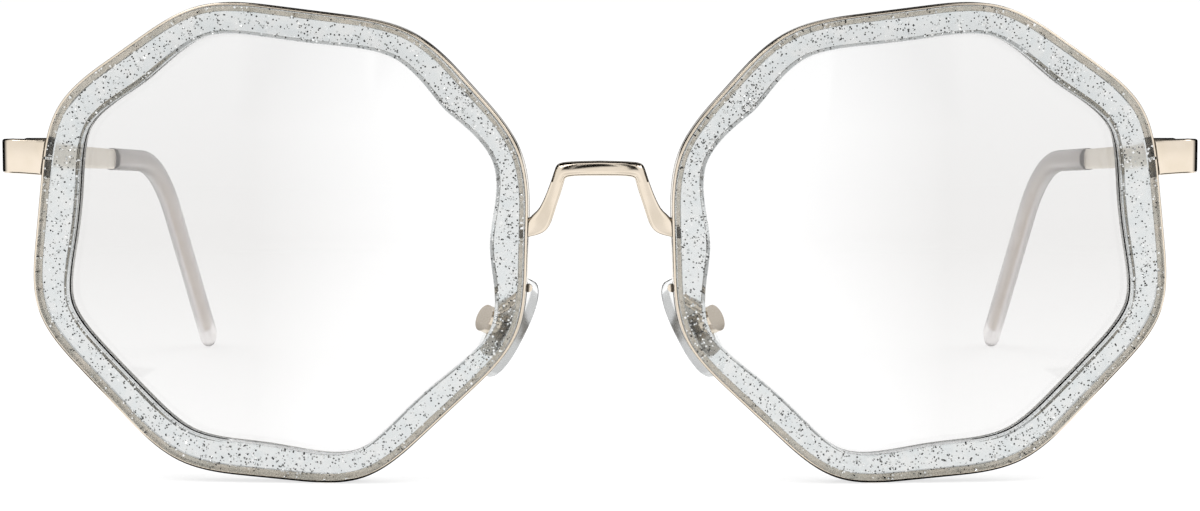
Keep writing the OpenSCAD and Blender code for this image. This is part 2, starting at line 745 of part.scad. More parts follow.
// Where the arm meets the round box: its turn up from the box's side, and the share of the box's depth
arm_turn = 50;
arm_deep = 0.6;
function box_side(past) =
    from_pad([box_face + arm_deep * box_d,
              -(box_r + past) * cos(arm_turn), (box_r + past) * sin(arm_turn)]);

// The arm's middle line: off the back of the rim wire, behind the ring and down to the box's side
arm_points = [
    [arm_foot[0], arm_foot[1], arm_z],
    [arm_foot[0] - 0.1, arm_foot[1] + 1.6, arm_z],
    [arm_foot[0] + 0.8, ring_d + 4 * arm_r, arm_z - 0.5],
    [arm_foot[0] + 2.3, ring_d + 5.4 * arm_r, arm_z - 2],
    box_side(1.4),
    box_side(seat)
];
arm_line = open_curve(arm_points, 3);

function arm_ring(i) =
    let (n = len(arm_line), t = arm_line[min(n - 1, i + 1)] - arm_line[max(0, i - 1)],
         along = i == 0 ? [-sin(wrap), cos(wrap), 0] : i == n - 1 ? box_side(0) - box_side(1) : t)
    carried(oval(2 * arm_r, 2 * arm_r, 2, 8), arm_line[i], along);

module pad_arm() {
    color("#D6C6AE") skin([for (i = [0 : len(arm_line) - 1]) arm_ring(i)]);
}

// Origin: the middle of the depth from the bridge's front to the sleeves' back

front_y = min(0, bar_y - bridge_d / 2);
back_y = max([for (e = sleeve_end) for (p = sleeve_ring(temple_end - e[0], e[1])) p[1]]);

module placed(side) {
    translate([0, -(front_y + back_y) / 2, 0]) mirror([side == "right" ? 1 : 0, 0, 0]) children();
}

placed("left") bridge();

placed("left") rim_wire();  // left_rim_wire
placed("left") acetate_ring();  // left_acetate_ring
placed("left") lens();  // left_lens
placed("left") lock_upper();  // left_lock_upper
placed("left") lock_lower();  // left_lock_lower
placed("left") lock_screw();  // left_lock_screw
placed("left") end_piece();  // left_end_piece
placed("left") front_hinge();  // left_front_hinge
placed("left") hinge_screw();  // left_hinge_screw
placed("left") temple_hinge();  // left_temple_hinge
placed("left") temple();  // left_temple
placed("left") temple_sleeve();  // left_temple_sleeve
placed("left") pad_arm();  // left_pad_arm
placed("left") pad_box();  // left_pad_box
placed("left") pad_screw();  // left_pad_screw
placed("left") pad_insert();  // left_pad_insert
placed("left") nose_pad();  // left_nose_pad

placed("right") rim_wire();  // right_rim_wire
placed("right") acetate_ring();  // right_acetate_ring
placed("right") lens();  // right_lens
placed("right") lock_upper();  // right_lock_upper
placed("right") lock_lower();  // right_lock_lower
placed("right") lock_screw();  // right_lock_screw
placed("right") end_piece();  // right_end_piece
placed("right") front_hinge();  // right_front_hinge
placed("right") hinge_screw();  // right_hinge_screw
placed("right") temple_hinge();  // right_temple_hinge
placed("right") temple();  // right_temple
placed("right") temple_sleeve();  // right_temple_sleeve
placed("right") pad_arm();  // right_pad_arm
placed("right") pad_box();  // right_pad_box
placed("right") pad_screw();  // right_pad_screw
placed("right") pad_insert();  // right_pad_insert
placed("right") nose_pad();  // right_nose_pad
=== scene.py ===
"""Eyeglasses with irregular eight-sided rims, dressed for a studio picture.

Outlines and paths are worked out in millimetres, in the construction's own frame: the fronts of
the rims touch y = 0, the ground is z = 0 and the wearer's left is +X. They are then carried to the
row frame in metres.
"""
import math
import random

import bmesh
import bpy
import numpy as np
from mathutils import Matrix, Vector


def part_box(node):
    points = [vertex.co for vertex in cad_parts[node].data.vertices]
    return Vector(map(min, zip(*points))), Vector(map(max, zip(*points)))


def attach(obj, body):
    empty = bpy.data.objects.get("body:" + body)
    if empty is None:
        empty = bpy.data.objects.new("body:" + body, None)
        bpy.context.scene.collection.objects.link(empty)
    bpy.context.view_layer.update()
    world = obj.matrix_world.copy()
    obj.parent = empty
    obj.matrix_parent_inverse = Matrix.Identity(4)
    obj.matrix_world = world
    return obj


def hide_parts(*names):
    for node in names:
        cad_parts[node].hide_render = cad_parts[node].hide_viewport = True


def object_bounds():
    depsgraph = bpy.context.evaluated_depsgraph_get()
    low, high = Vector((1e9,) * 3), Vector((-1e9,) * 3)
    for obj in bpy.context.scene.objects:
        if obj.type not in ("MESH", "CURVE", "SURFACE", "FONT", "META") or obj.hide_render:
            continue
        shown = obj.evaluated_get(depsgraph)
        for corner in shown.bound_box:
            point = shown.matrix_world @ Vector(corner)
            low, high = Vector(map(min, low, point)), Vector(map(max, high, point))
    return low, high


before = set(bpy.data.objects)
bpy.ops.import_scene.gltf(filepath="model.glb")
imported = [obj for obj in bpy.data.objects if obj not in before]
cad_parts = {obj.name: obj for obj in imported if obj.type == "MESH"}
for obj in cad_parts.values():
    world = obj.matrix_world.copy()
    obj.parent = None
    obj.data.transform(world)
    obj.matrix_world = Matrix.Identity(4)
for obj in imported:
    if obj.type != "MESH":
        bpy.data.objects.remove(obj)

cad_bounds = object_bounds()

MM = 0.001
SIDES = ("left", "right")

# Rims, in millimetres
RIM_GAP, RIM_W, RIM_H = 17.5, 61.5, 59.8
CORNER_ROUND = 9.6
WRAP = math.radians(4)
CORNER_SHARES = [(-1, 0.38), (-0.55, 0.89), (0.31, 1), (0.91, 0.57),
                 (1, -0.3), (0.42, -0.93), (-0.35, -1), (-0.98, -0.39)]
STATIONS_PER_POINT = 12

# Rim wire: a band round the outside with a tongue that reaches into the ring
BAND_T, BAND_D = 0.32, 2.6
BAND_ROUND, BAND_INNER_ROUND = 0.2, 0.06
TONGUE_REACH, TONGUE_D, TONGUE_ROUND = 0.75, 1.1, 0.1
SLIT, NEAR_SLIT = 0.35, 5
HAIR, FAR = 0.01, 99
# How far the tongue is painted dark, as painted shade of the joint, up and down from the lock's slit and
# from the middle of a leg's foot
SHADE_BY_LOCK, SHADE_BY_LEG = 2.3, 0.7

# Acetate ring and lens. The ring's width waves, and the lens's groove is deeper by the temple
RING_W, RING_D, RING_ROUND, RING_INNER_ROUND = 4.1, 4.2, 0.34, 0.2
RING_WAVE = [-1.6, 0.7, -0.8, 0, -0.7, 1.1, 0, 1.3, -0.2, -0.3, 0, 0.2, -1.1, 0.2, -1.8, 1.4]
GROOVE_FIT, LENS_FIT = 0.05, 0.1
LENS_T, LENS_CURVE = 1.8, 200
LENS_EDGE, LENS_EDGE_TEMPLE, LENS_EDGE_TURN = 0.3, 0.7, (5, 18)
LENS_SHARES = (0.05, 0.2, 0.4, 0.6, 0.8, 0.94, 1)
# The lens is greyest by the temple, from here to there across the front and about this height
GREY_FROM, GREY_TO, GREY_Z, GREY_REACH, GREY_LESS = 16, 42, 30, 25, 0.55

# Glitter. Three kinds of flake: silver, grey and shaded; the grey and shaded are the silver film in painted
# shade.
# A higher power keeps them nearer the ring's face
FLAKES_TRIED = 3300
FLAKE_SHARES = (0.42, 0.22, 0.36)
FLAKE_SIZES = ((0.14, 0.19, 0.24), (0.1, 0.13, 0.16, 0.2), (0.1, 0.13, 0.16, 0.2))
FLAKE_TILTS = (0.14, 0.3, 0.3)
FLAKE_POWERS = (2.2, 1.2, 1.2)
FLAKE_BEND = 0.008
# Clusters: the share of flakes that join the last one, and its spread in stations and across the ring
STAY_IN_CLUSTER, CLUSTER_ALONG, CLUSTER_ACROSS, CLUSTER_EDGE = 0.55, 1.4, 0.14, 0.02
# Room kept from the band, from band and inner edge together, and from the ring's faces. A flake that
# would touch the tongue or the lens goes to the front, within so much of the face
FLAKE_OFF_BAND, FLAKE_OFF_BOTH, FLAKE_OFF_FACE, FLAKE_FRONT = 0.1, 0.35, 0.15, 0.6
KEPT_OVER_TONGUE, CLEAR_OF_TONGUE, CLEAR_OF_LENS = 0.45, 0.25, 0.3

# Bridge: its edges as seen from the front, as shares of the way out to the rim and of its height
BRIDGE_TOP, BRIDGE_LOW, BRIDGE_D, BRIDGE_BOW = 39.5, 30.1, 2, 0.4
BAR_D, BAR_AHEAD, BAR_SQUARENESS, BAR_LEANING = 1.8, 0.3, 2.6, 0.16
LEG_D, LEG_BEHIND, LEG_SQUARENESS, LEG_SUNK = 1.3, 0.25, 6, 0.2
LEG_OUTER_EDGE = [(1.14, 0.15), (1, 0.223), (0.937, 0.297), (0.863, 0.35), (0.806, 0.435),
                  (0.737, 0.579), (0.68, 0.727)]
LEG_INNER_EDGE = [(1.14, -0.01), (0.8, 0.035), (0.69, 0.15), (0.634, 0.308), (0.589, 0.446),
                  (0.539, 0.579), (0.495, 0.724)]
BAR_UPPER_EDGE = [(0.68, 0.727), (0.63, 0.87), (0.595, 0.97), (0.445, 0.987), (0.25, 0.995), (0, 1)]
BAR_LOWER_EDGE = [(0.495, 0.724), (0.486, 0.759), (0.469, 0.786), (0.377, 0.803), (0.217, 0.809),
                  (0, 0.809)]

# End pieces. The brazed corner at the rim is a hollow, out of which the face rises over these steps
END_Z, END_RISE, END_T, END_REACH, END_SUNK = 39.6, 0.15, 1.3, 5.3, 0.25
END_H_RIM, END_H_BEND, END_BEND_R = 4.35, 4.2, 2.2
END_EDGE, END_BACK_EDGE = 0.34, 0.14
CREVICE, CREVICE_STEPS, CREVICE_PAST = 0.4, (0.01, 0.05, 0.12, 0.2, 0.3, 0.4), 1

# Temples and sleeves
TEMPLE_SLOPE, DROP, LEAN = math.radians(4.4), math.radians(38), math.radians(3.9)
BEND_AT, BEND_R, SLEEVE_AT, MOUTH_L = 78, 46, 59, 7
BAR_H, BAR_T, TEMPLE_H = 2.8, 1.1, 3.2
NECK_W, NECK_H, CORE_W, CORE_H, CORE_FIT = 1.05, 2.3, 0.9, 1.5, 0.08
SLEEVE_T, SLEEVE_H, SLEEVE_END_H, SLEEVE_PAST, SLEEVE_SHORT = 2.6, 3.1, 3.8, 5, 0.08
SLEEVE_MOUTH = [(0, 0.9), (0.06, 0.96), (0.2, 0.99), (0.4, 1)]
SLEEVE_END = [(1.7, 1), (1.35, 0.96), (1.0, 0.91), (0.6, 0.82), (0.3, 0.68), (0.1, 0.5), (0, 0.25)]
TEMPLE_SQUARENESS, NECK_SQUARENESS, SLEEVE_SQUARENESS, ROUND = 5, 4, 2.4, 2
STRAIGHT_L, STRAIGHT_PAST = 6, 1
# Gaps: on each side of the hinge's middle and at the sleeve's mouth, and where a pad arm is brazed
RUN, SEAT = 0.05, 0.03

# Nose pads
PAD_X, PAD_Y, PAD_Z = 11.5, 10.5, 18.2
PAD_TILT, PAD_SPLAY = math.radians(28), math.radians(30)
PAD_L, PAD_W, PAD_T = 13.2, 7.4, 2.6
PAD_SQUARE, PAD_NARROWING, PAD_EDGE, PAD_TURN = 2.4, 0.07, 0.35, 84
BOX_GAP, BOX_R, BOX_D = 0.5, 1.7, 1.9
# Pad arms: off the band's back, then points past the foot, behind the ring and below the arm's start
ARM_R, ARM_RISE, ARM_TURN, ARM_DEEP, ARM_IN = 0.5, 5.6, math.radians(50), 0.6, 0.08
ARM_OFF_BAND, ARM_BEHIND_RING, ARM_BY_BOX = (-0.1, 1.6), [(0.8, 2, 0.5), (2.3, 2.7, 2)], 1.4

# Points round a section of the bridge, of a temple or sleeve, of a pad and of a pad arm
BRIDGE_SIDES, TEMPLE_SIDES, PAD_SIDES, ARM_SIDES = 48, 32, 40, 20

# Small pieces: the angle up to which faces count as one flat, and from which an edge gets broken
FLAT_WITHIN, BROKEN_FROM = math.radians(2), math.radians(40)

front_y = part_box("bridge")[0].y / MM + BAR_AHEAD


# Curves

def spline(a, b, c, d, t):
    return ((1 - t) ** 3 * a + (3 * t ** 3 - 6 * t ** 2 + 4) * b
            + (-3 * t ** 3 + 3 * t ** 2 + 3 * t + 1) * c + t ** 3 * d) / 6


def closed_curve(points, steps):
    """Smooth closed curve that the points pull on, with so many steps for each point."""
    p = np.asarray(points, float)
    t = (np.arange(steps) / steps)[:, None]
    turns = [np.roll(p, k, axis=0) for k in (1, 0, -1, -2)]
    return np.concatenate([spline(*(q[i] for q in turns), t) for i in range(len(p))])


def open_curve(points, steps):
    """Smooth curve from the first point to the last, pulled on by the ones between."""
    p = np.asarray(points, float)
    q = np.vstack([2 * p[0] - p[1], p, 2 * p[-1] - p[-2]])
    t = (np.arange(steps) / steps)[:, None]
    parts = [spline(q[i], q[i + 1], q[i + 2], q[i + 3], t) for i in range(len(q) - 3)]
    return np.vstack([*parts, p[-1:]])


def rounded(corners, radii, steps=4):
    """Outline with each corner rounded over its radius: corners is (..., number, 2)."""
    corners = np.asarray(corners, float)
    count = corners.shape[-2]
    out = []
    for k in range(count):
        here = corners[..., k, :]
        if not radii[k]:
            out.append(here)
            continue
        ends = []
        for other in (corners[..., k - 1, :], corners[..., (k + 1) % count, :]):
            way = other - here
            ends.append(here + way * (radii[k] / np.linalg.norm(way, axis=-1, keepdims=True)))
        for t in np.linspace(0, 1, steps):
            out.append((1 - t) ** 2 * ends[0] + 2 * t * (1 - t) * here + t ** 2 * ends[1])
    return np.stack(out, axis=-2)


def oval(width, height, squareness, sides):
    """Oval to rounded-square section: squareness 2 is an ellipse."""
    a = np.arange(sides) * 2 * math.pi / sides
    across = [np.sign(f) * np.abs(f) ** (2 / squareness) for f in (np.cos(a), np.sin(a))]
    return np.stack([width / 2 * across[0], height / 2 * across[1]], axis=-1)


def unit(v):
    v = np.asarray(v, float)
    return v / np.linalg.norm(v, axis=-1, keepdims=True)


def carried(section, place, along):
    """Section carried to a place, square to the direction that the path runs in."""
    s = unit(np.cross(along, [0, 0, 1]))
    u = np.cross(s, unit(along))
    return np.asarray(place) + section[:, :1] * s + section[:, 1:] * u


# Meshes

def to_row(points, side):
    """Construction millimetres to row-frame metres, on the wearer's left or right."""
    p = np.array(points, float)
    p[..., 1] += front_y
    if side == "right":
        p[..., 0] *= -1
    return p * MM


def mesh_piece(name, points, faces, materials, face_slots=None, sharp=40):
    """Closed mesh with its faces turned outwards and its corners over so many degrees kept sharp."""
    mesh = bpy.data.meshes.new(name)
    mesh.from_pydata([tuple(p) for p in points], [], faces)
    for material in materials:
        mesh.materials.append(material)
    if face_slots is not None:
        mesh.polygons.foreach_set("material_index", face_slots)
    work = bmesh.new()
    work.from_mesh(mesh)
    bmesh.ops.recalc_face_normals(work, faces=work.faces)
    work.to_mesh(mesh)
    work.free()
    mesh.polygons.foreach_set("use_smooth", [True] * len(mesh.polygons))
    mesh.set_sharp_from_angle(angle=math.radians(sharp))
    piece = bpy.data.objects.new(name, mesh)
    bpy.context.scene.collection.objects.link(piece)
    return piece


def loft(name, rings, side, materials, closed=False, column_slots=None, sharp=40):
    """Skin over a row of rings, closed on itself or capped at both ends."""
    rings = to_row(rings, side)
    count, sides = rings.shape[:2]
    faces, slots = [], []
    for i in range(count if closed else count - 1):
        for j in range(sides):
            a, b = i * sides + j, i * sides + (j + 1) % sides
            c, d = (i + 1) % count * sides + j, (i + 1) % count * sides + (j + 1) % sides
            faces.append((a, b, d, c))
            slots.append(column_slots[j] if column_slots is not None else 0)
    if not closed:
        faces += [tuple(range(sides)), tuple((count - 1) * sides + j for j in range(sides))]
        slots += [0, 0]
    return mesh_piece(name, rings.reshape(-1, 3), faces, materials, slots, sharp)


def stand_for(piece, node, body):
    """The piece takes the place of a node on its body."""
    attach(piece, body)
    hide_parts(node)
    return piece


# Materials

def colour(code):
    """Linear colour of an sRGB hex code."""
    parts = [int(code[i:i + 2], 16) / 255 for i in (1, 3, 5)]
    return (*[c / 12.92 if c <= 0.04045 else ((c + 0.055) / 1.055) ** 2.4 for c in parts], 1)


def new_material(name):
    """Material with only its output node, and the tree that it is built in."""
    material = bpy.data.materials.new(name)
    material.use_nodes = True
    tree = material.node_tree
    tree.nodes.clear()
    tree.nodes.new("ShaderNodeOutputMaterial")
    return material, tree


def add(tree, kind, settings=None, **inputs):
    """Node of that kind, with its settings, and its inputs set to values or linked to sockets."""
    node = tree.nodes.new("ShaderNode" + kind)
    for key, value in (settings or {}).items():
        setattr(node, key, value)
    for key, value in inputs.items():
        numbered = key[0] == "i" and key[1:].isdigit()
        socket = node.inputs[int(key[1:]) if numbered else key.replace("_", " ")]
        if isinstance(value, bpy.types.NodeSocket):
            tree.links.new(value, socket)
        else:
            socket.default_value = value
    return node


def finish_with(tree, shader, body=None):
    """The shader goes to the surface, and the body, where there is one, fills the piece."""
    out = next(node for node in tree.nodes if node.type == "OUTPUT_MATERIAL")
    tree.links.new(shader.outputs[0], out.inputs["Surface"])
    if body:
        tree.links.new(body.outputs[0], out.inputs["Volume"])


def ramp(tree, value, stops):
    """Colour ramp over a value: stops are (place, hex code)."""
    node = add(tree, "ValToRGB", Fac=value)
    for k, (place, code) in enumerate(stops):
        stop = node.color_ramp.elements[k] if k < 2 else node.color_ramp.elements.new(place)
        stop.position = place
        stop.color = colour(code)
    return node.outputs[0]


def per_mm(size):
    """Texture scale at which one feature is so many millimetres, on object coordinates in metres."""
    return 1 / (size * MM)


def worked_metal(name, light, dark, low, high, grain):
    """Metal whose tone clouds a little over 2.5 mm, under rub marks as wide as its grain in mm.

    Real rub marks are some hundredths of a millimetre wide. They are drawn coarser, so that they show.
    """
    material, tree = new_material(name)
    place = add(tree, "TexCoord").outputs["Object"]
    cloud = add(tree, "TexNoise", Vector=place, Scale=per_mm(2.5), Detail=2.0)
    rub = add(tree, "TexNoise", Vector=place, Scale=per_mm(grain), Detail=4.0, Roughness=0.7)
    tint = ramp(tree, cloud.outputs["Fac"], [(0.3, dark), (0.7, light)])
    gloss = add(tree, "MapRange", Value=rub.outputs["Fac"], i1=0.35, i2=0.65, i3=low, i4=high)
    bump = add(tree, "Bump", Height=rub.outputs["Fac"], Strength=0.05, Distance=0.02 * MM)
    finish_with(tree, add(tree, "BsdfPrincipled", Base_Color=tint, Metallic=1.0,
                          Roughness=gloss.outputs[0], Normal=bump.outputs[0]))
    return material


def glitter_acetate():
    """Cast clear acetate, tumble polished: faintly grey in its depth, and its surface isn't quite flat.

    The cast sheet clouds over about 1.6 mm, and tumbling leaves waves about 3 mm long.
    """
    material, tree = new_material("cast_glitter_acetate")
    place = add(tree, "TexCoord").outputs["Object"]
    cloud = add(tree, "TexNoise", Vector=place, Scale=per_mm(1.6), Detail=3.0)
    tint = ramp(tree, cloud.outputs["Fac"], [(0.35, "#EFF2F3"), (0.65, "#FCFBFA")])
    wave = add(tree, "TexNoise", Vector=place, Scale=per_mm(3), Detail=1.0)
    bump = add(tree, "Bump", Height=wave.outputs["Fac"], Strength=0.18, Distance=0.1 * MM)
    shader = add(tree, "BsdfPrincipled", Base_Color=tint, Transmission_Weight=1.0,
                 IOR=1.48, Roughness=0.09, Normal=bump.outputs[0])
    body = add(tree, "VolumeAbsorption", Color=colour("#D2D5D5"), Density=190.0)
    finish_with(tree, shader, body)
    return material


def foil(name, light, dark, roughness):
    """Aluminium-coated film cut into glitter: each flake has its own tone."""
    material, tree = new_material(name)
    place = add(tree, "TexCoord").outputs["Object"]
    spot = add(tree, "TexNoise", Vector=place, Scale=per_mm(0.3), Detail=1.0)
    tint = ramp(tree, spot.outputs["Fac"], [(0.35, dark), (0.65, light)])
    finish_with(tree, add(tree, "BsdfPrincipled", Base_Color=tint, Metallic=1.0, Roughness=roughness))
    return material


def lens_plastic():
    """Cast allyl lens, hard coated: clear, with the faintest grey that deepens towards the temple."""
    material, tree = new_material("hard_coated_lens")
    place = add(tree, "TexCoord").outputs["Object"]
    axes = add(tree, "SeparateXYZ", Vector=place)
    outwards = add(tree, "Math", {"operation": "ABSOLUTE"}, i0=axes.outputs[0])
    across = add(tree, "MapRange", Value=outwards.outputs[0], i1=GREY_FROM * MM, i2=GREY_TO * MM)
    off_middle = add(tree, "Math", {"operation": "SUBTRACT"}, i0=axes.outputs[2], i1=GREY_Z * MM)
    from_middle = add(tree, "Math", {"operation": "ABSOLUTE"}, i0=off_middle.outputs[0])
    less = add(tree, "MapRange", Value=from_middle.outputs[0], i1=0.0, i2=GREY_REACH * MM, i4=GREY_LESS)
    fade = add(tree, "Math", {"operation": "SUBTRACT"}, i0=across.outputs[0], i1=less.outputs[0])
    tint = ramp(tree, fade.outputs[0], [(0.02, "#FAFAFA"), (0.98, "#E2E1E0")])
    finish_with(tree, add(tree, "BsdfPrincipled", Base_Color=tint, Transmission_Weight=1.0,
                          IOR=1.5, Roughness=0.0))
    return material


def clear_plastic(name, pale, deep, index, roughness, cloud_size):
    """Clear plastic, shaped hot: it clouds a little over so many mm, and its surface waves with that."""
    material, tree = new_material(name)
    place = add(tree, "TexCoord").outputs["Object"]
    cloud = add(tree, "TexNoise", Vector=place, Scale=per_mm(cloud_size), Detail=2.0)
    tint = ramp(tree, cloud.outputs["Fac"], [(0.35, pale), (0.7, deep)])
    bump = add(tree, "Bump", Height=cloud.outputs["Fac"], Strength=0.1, Distance=0.05 * MM)
    finish_with(tree, add(tree, "BsdfPrincipled", Base_Color=tint, Transmission_Weight=1.0,
                          IOR=index, Roughness=roughness, Normal=bump.outputs[0]))
    return material


# Nickel silver with buffed champagne plating: a warm pale mirror with crisp dark and light shapes in it
champagne = worked_metal("polished_champagne_plating", "#EADDCC", "#E3D6C3", 0.06, 0.14, 0.12)
# The same plating over a brushed bar: paler, dull, with no image in it
satin_champagne = worked_metal("satin_champagne_plating", "#FCF7EF", "#F4EEE4", 0.6, 0.7, 0.08)
# Drawn nickel silver, left unplated where the acetate covers it: greyer, with a soft gloss
tongue_metal = worked_metal("drawn_nickel_silver", "#DED5C8", "#D0C6B8", 0.2, 0.35, 0.15)
# The same metal painted brown to black in patches: painted shade in the joints by the lock and the legs'
# feet
painted_shade_metal = worked_metal("painted_shade_nickel_silver", "#6A6152", "#2E2A22", 0.25, 0.45, 0.4)
# Turned steel: a neutral grey against the warm plating, with fine turning marks
screw_steel = worked_metal("turned_steel", "#CFCBC4", "#B5B0A8", 0.12, 0.25, 0.06)
acetate = glitter_acetate()
# Aluminium-coated film: a flake that faces the light is a bright spark. The grey and nearly black flakes
# are the same film in painted shade, standing for flakes tilted away from the light
bright_foil = foil("silver_foil", "#FFFFFF", "#F0F0EE", 0.15)
painted_half_shade_foil = foil("painted_half_shade_foil", "#A8A8A4", "#6E6E6B", 0.3)
painted_shade_foil = foil("shaded_foil", "#4A4A47", "#1E1E1C", 0.35)
lens_clear = lens_plastic()
# Extruded acetate, scored inside by the core wire: milky clear, and the wire shows as a soft shade
sleeve_acetate = clear_plastic("extruded_sleeve_acetate", "#FFFCFB", "#F8F4F3", 1.48, 0.3, 3)
# Moulded silicone: nearly unseen but for its edge. It bends light less than real silicone, at 1.41, does,
# because the photograph shows its body almost white
silicone = clear_plastic("moulded_silicone", "#FEFFFF", "#F8FAFA", 1.2, 0.1, 2)


# Rim outline

def rim_control_points():
    """Points that pull the outline round its corners: each corner, and one before and after it."""
    corners = [np.array([sx * RIM_W / 2, sz * RIM_H / 2]) for sx, sz in CORNER_SHARES]
    points = []
    for i, corner in enumerate(corners):
        before, after = corners[i - 1], corners[(i + 1) % len(corners)]
        points += [corner + CORNER_ROUND * unit(before - corner), corner,
                   corner + CORNER_ROUND * unit(after - corner)]
    return points


rim_line = closed_curve(rim_control_points(), STATIONS_PER_POINT)
rim_count = len(rim_line)
rim_way = np.roll(rim_line, -1, axis=0) - np.roll(rim_line, 1, axis=0)
rim_out = unit(np.stack([-rim_way[:, 1], rim_way[:, 0]], axis=-1))
nose_side, rim_low = rim_line[:, 0].min(), rim_line[:, 1].min()
# The construction's outline is a little coarser, so its top is lower by a hair, and these rims keep to it
rim_rise = cad_bounds[1][2] / MM / (rim_line[:, 1].max() - rim_low)


def ring_widths():
    """Width of the ring at each station: a wave pulled on at the corners and half way between."""
    wave = np.array(RING_WAVE, float)
    h = (2 * (np.arange(rim_count) / STATIONS_PER_POINT - 1) / 3) % len(wave)
    k = np.floor(h).astype(int)
    pulls = [wave[(k + j) % len(wave)] for j in (-1, 0, 1, 2)]
    return RING_W + spline(*pulls, h - k)


ring_width = ring_widths()
lens_rim = rim_line - ring_width[:, None] * rim_out
lens_edge = np.interp(rim_line[:, 0], LENS_EDGE_TURN, (LENS_EDGE, LENS_EDGE_TEMPLE))
lens_mean_r = (RIM_W + RIM_H) / 4 - RING_W
mid_d = RING_D / 2


def bow(r):
    """How far the lens's curve falls back at a distance from its middle."""
    return LENS_CURVE - np.sqrt(LENS_CURVE ** 2 - r ** 2)


def lens_y(points):
    """Middle of the lens's thickness at some points, set so that its edge lies mid-ring."""
    return mid_d + bow(np.linalg.norm(points, axis=-1)) - bow(lens_mean_r)


def on_rim(points):
    """From the rim's own plane to the front: turned back from the nose and stood on the ground."""
    x, y, z = points[..., 0] - nose_side, points[..., 1], (points[..., 2] - rim_low) * rim_rise
    return np.stack([RIM_GAP / 2 + x * math.cos(WRAP) - y * math.sin(WRAP),
                     x * math.sin(WRAP) + y * math.cos(WRAP), z], axis=-1)


def round_rim(section, stations=None):
    """Rings of a section of (outwards, back) points, one or one for each station, round the rim."""
    stations = np.arange(rim_count) if stations is None else np.asarray(stations)
    section = np.broadcast_to(section, (len(stations), *np.shape(section)[-2:]))
    before = np.floor(stations).astype(int)
    part = (stations - before)[:, None]
    line, out = ((1 - part) * v[before % rim_count] + part * v[(before + 1) % rim_count]
                 for v in (rim_line, rim_out))
    flat = line[:, None] + section[..., :1] * out[:, None]
    return on_rim(np.stack([flat[..., 0], section[..., 1], flat[..., 1]], axis=-1))


# Rim wire, acetate ring, glitter and lens

def stations_past_slit():
    """Stations once round the rim from below its slit, which the lock spans, to above it."""
    height = rim_line[:, 1] - rim_low
    near = np.flatnonzero((rim_line[:, 0] > 0) & (np.abs(height - END_Z) < NEAR_SLIT))
    above, below = np.interp([-END_Z - SLIT / 2, -END_Z + SLIT / 2], -height[near], near)
    between = np.arange(math.ceil(below), rim_count + math.ceil(above))
    return np.concatenate([[below], between, [rim_count + above]])


def rim_wire(side):
    """Drawn band and tongue, bent round the ring from one side of the slit to the other."""
    front, back = mid_d - BAND_D / 2, mid_d + BAND_D / 2
    inner, tip = -BAND_T, -BAND_T - TONGUE_REACH
    low, high = mid_d - TONGUE_D / 2, mid_d + TONGUE_D / 2
    corners = [(0, back), (inner, back), (inner, high), (tip, high),
               (tip, low), (inner, low), (inner, front), (0, front)]
    radii = [BAND_ROUND, BAND_INNER_ROUND, 0, TONGUE_ROUND, TONGUE_ROUND, 0, BAND_INNER_ROUND, BAND_ROUND]
    section = rounded(corners, radii, steps=7)
    reach = np.minimum(section[:, 0], np.roll(section[:, 0], -1))
    slots = [int(x < inner - HAIR) for x in reach]
    wire = loft(f"{side}_rim_wire_formed", round_rim(section, stations_past_slit()), side,
                [champagne, tongue_metal, painted_shade_metal], column_slots=slots)
    # Tongue faces by the lock's slit and by a bridge leg's foot get the painted shade
    for face in wire.data.polygons:
        x, _, z = face.center / MM
        by_lock = abs(x) > RIM_W and abs(z - END_Z) < SHADE_BY_LOCK
        by_leg = abs(x) < RIM_GAP and abs(z - BRIDGE_LOW - SHADE_BY_LEG) < SHADE_BY_LEG
        if face.material_index == 1 and (by_lock or by_leg):
            face.material_index = 2
    return stand_for(wire, f"{side}_rim_wire", "front")


def acetate_section():
    """Section of the ring at each station, with the slot for the tongue and the groove for the lens."""
    outer, slot = -BAND_T - GROOVE_FIT, -BAND_T - TONGUE_REACH - GROOVE_FIT
    half_slot = TONGUE_D / 2 + GROOVE_FIT
    half_notch = LENS_T / 2 + LENS_FIT
    inner = -ring_width
    notch = inner + lens_edge + LENS_FIT
    y = lens_y(lens_rim)
    same = np.ones(rim_count)
    outside = [(outer, 0), (outer, mid_d - half_slot), (slot, mid_d - half_slot),
               (slot, mid_d + half_slot), (outer, mid_d + half_slot), (outer, RING_D)]
    inside = [(inner, RING_D * same), (inner, y + half_notch), (notch, y), (inner, y - half_notch)]
    corners = [(inner, 0 * same)] + [(x * same, back * same) for x, back in outside] + inside
    points = np.stack([np.stack(c, axis=-1) for c in corners], axis=-2)
    radii = [RING_INNER_ROUND, RING_ROUND, 0, 0, 0, 0, RING_ROUND, RING_INNER_ROUND, 0, 0, 0]
    return rounded(points, radii, steps=5)


def acetate_ring(side):
    """One closed ring whose inner edge waves, over the tongue and round the lens."""
    ring = loft(f"{side}_acetate_ring_polished", round_rim(acetate_section()), side, [acetate],
                closed=True, sharp=30)
    return stand_for(ring, f"{side}_acetate_ring", "front")


def flake(centre, facing, turn, size):
    """Corners of a square flake, bent a little across its diagonal, as the four points of a flat wedge."""
    a = unit(np.cross(facing, [math.cos(turn), 0.1, math.sin(turn)]))
    b = np.cross(facing, a)
    return [centre + size * (u * a + v * b) + facing * w for u, v, w in
            ((-1, -1, FLAKE_BEND), (1, -1, -FLAKE_BEND), (1, 1, FLAKE_BEND), (-1, 1, -FLAKE_BEND))]


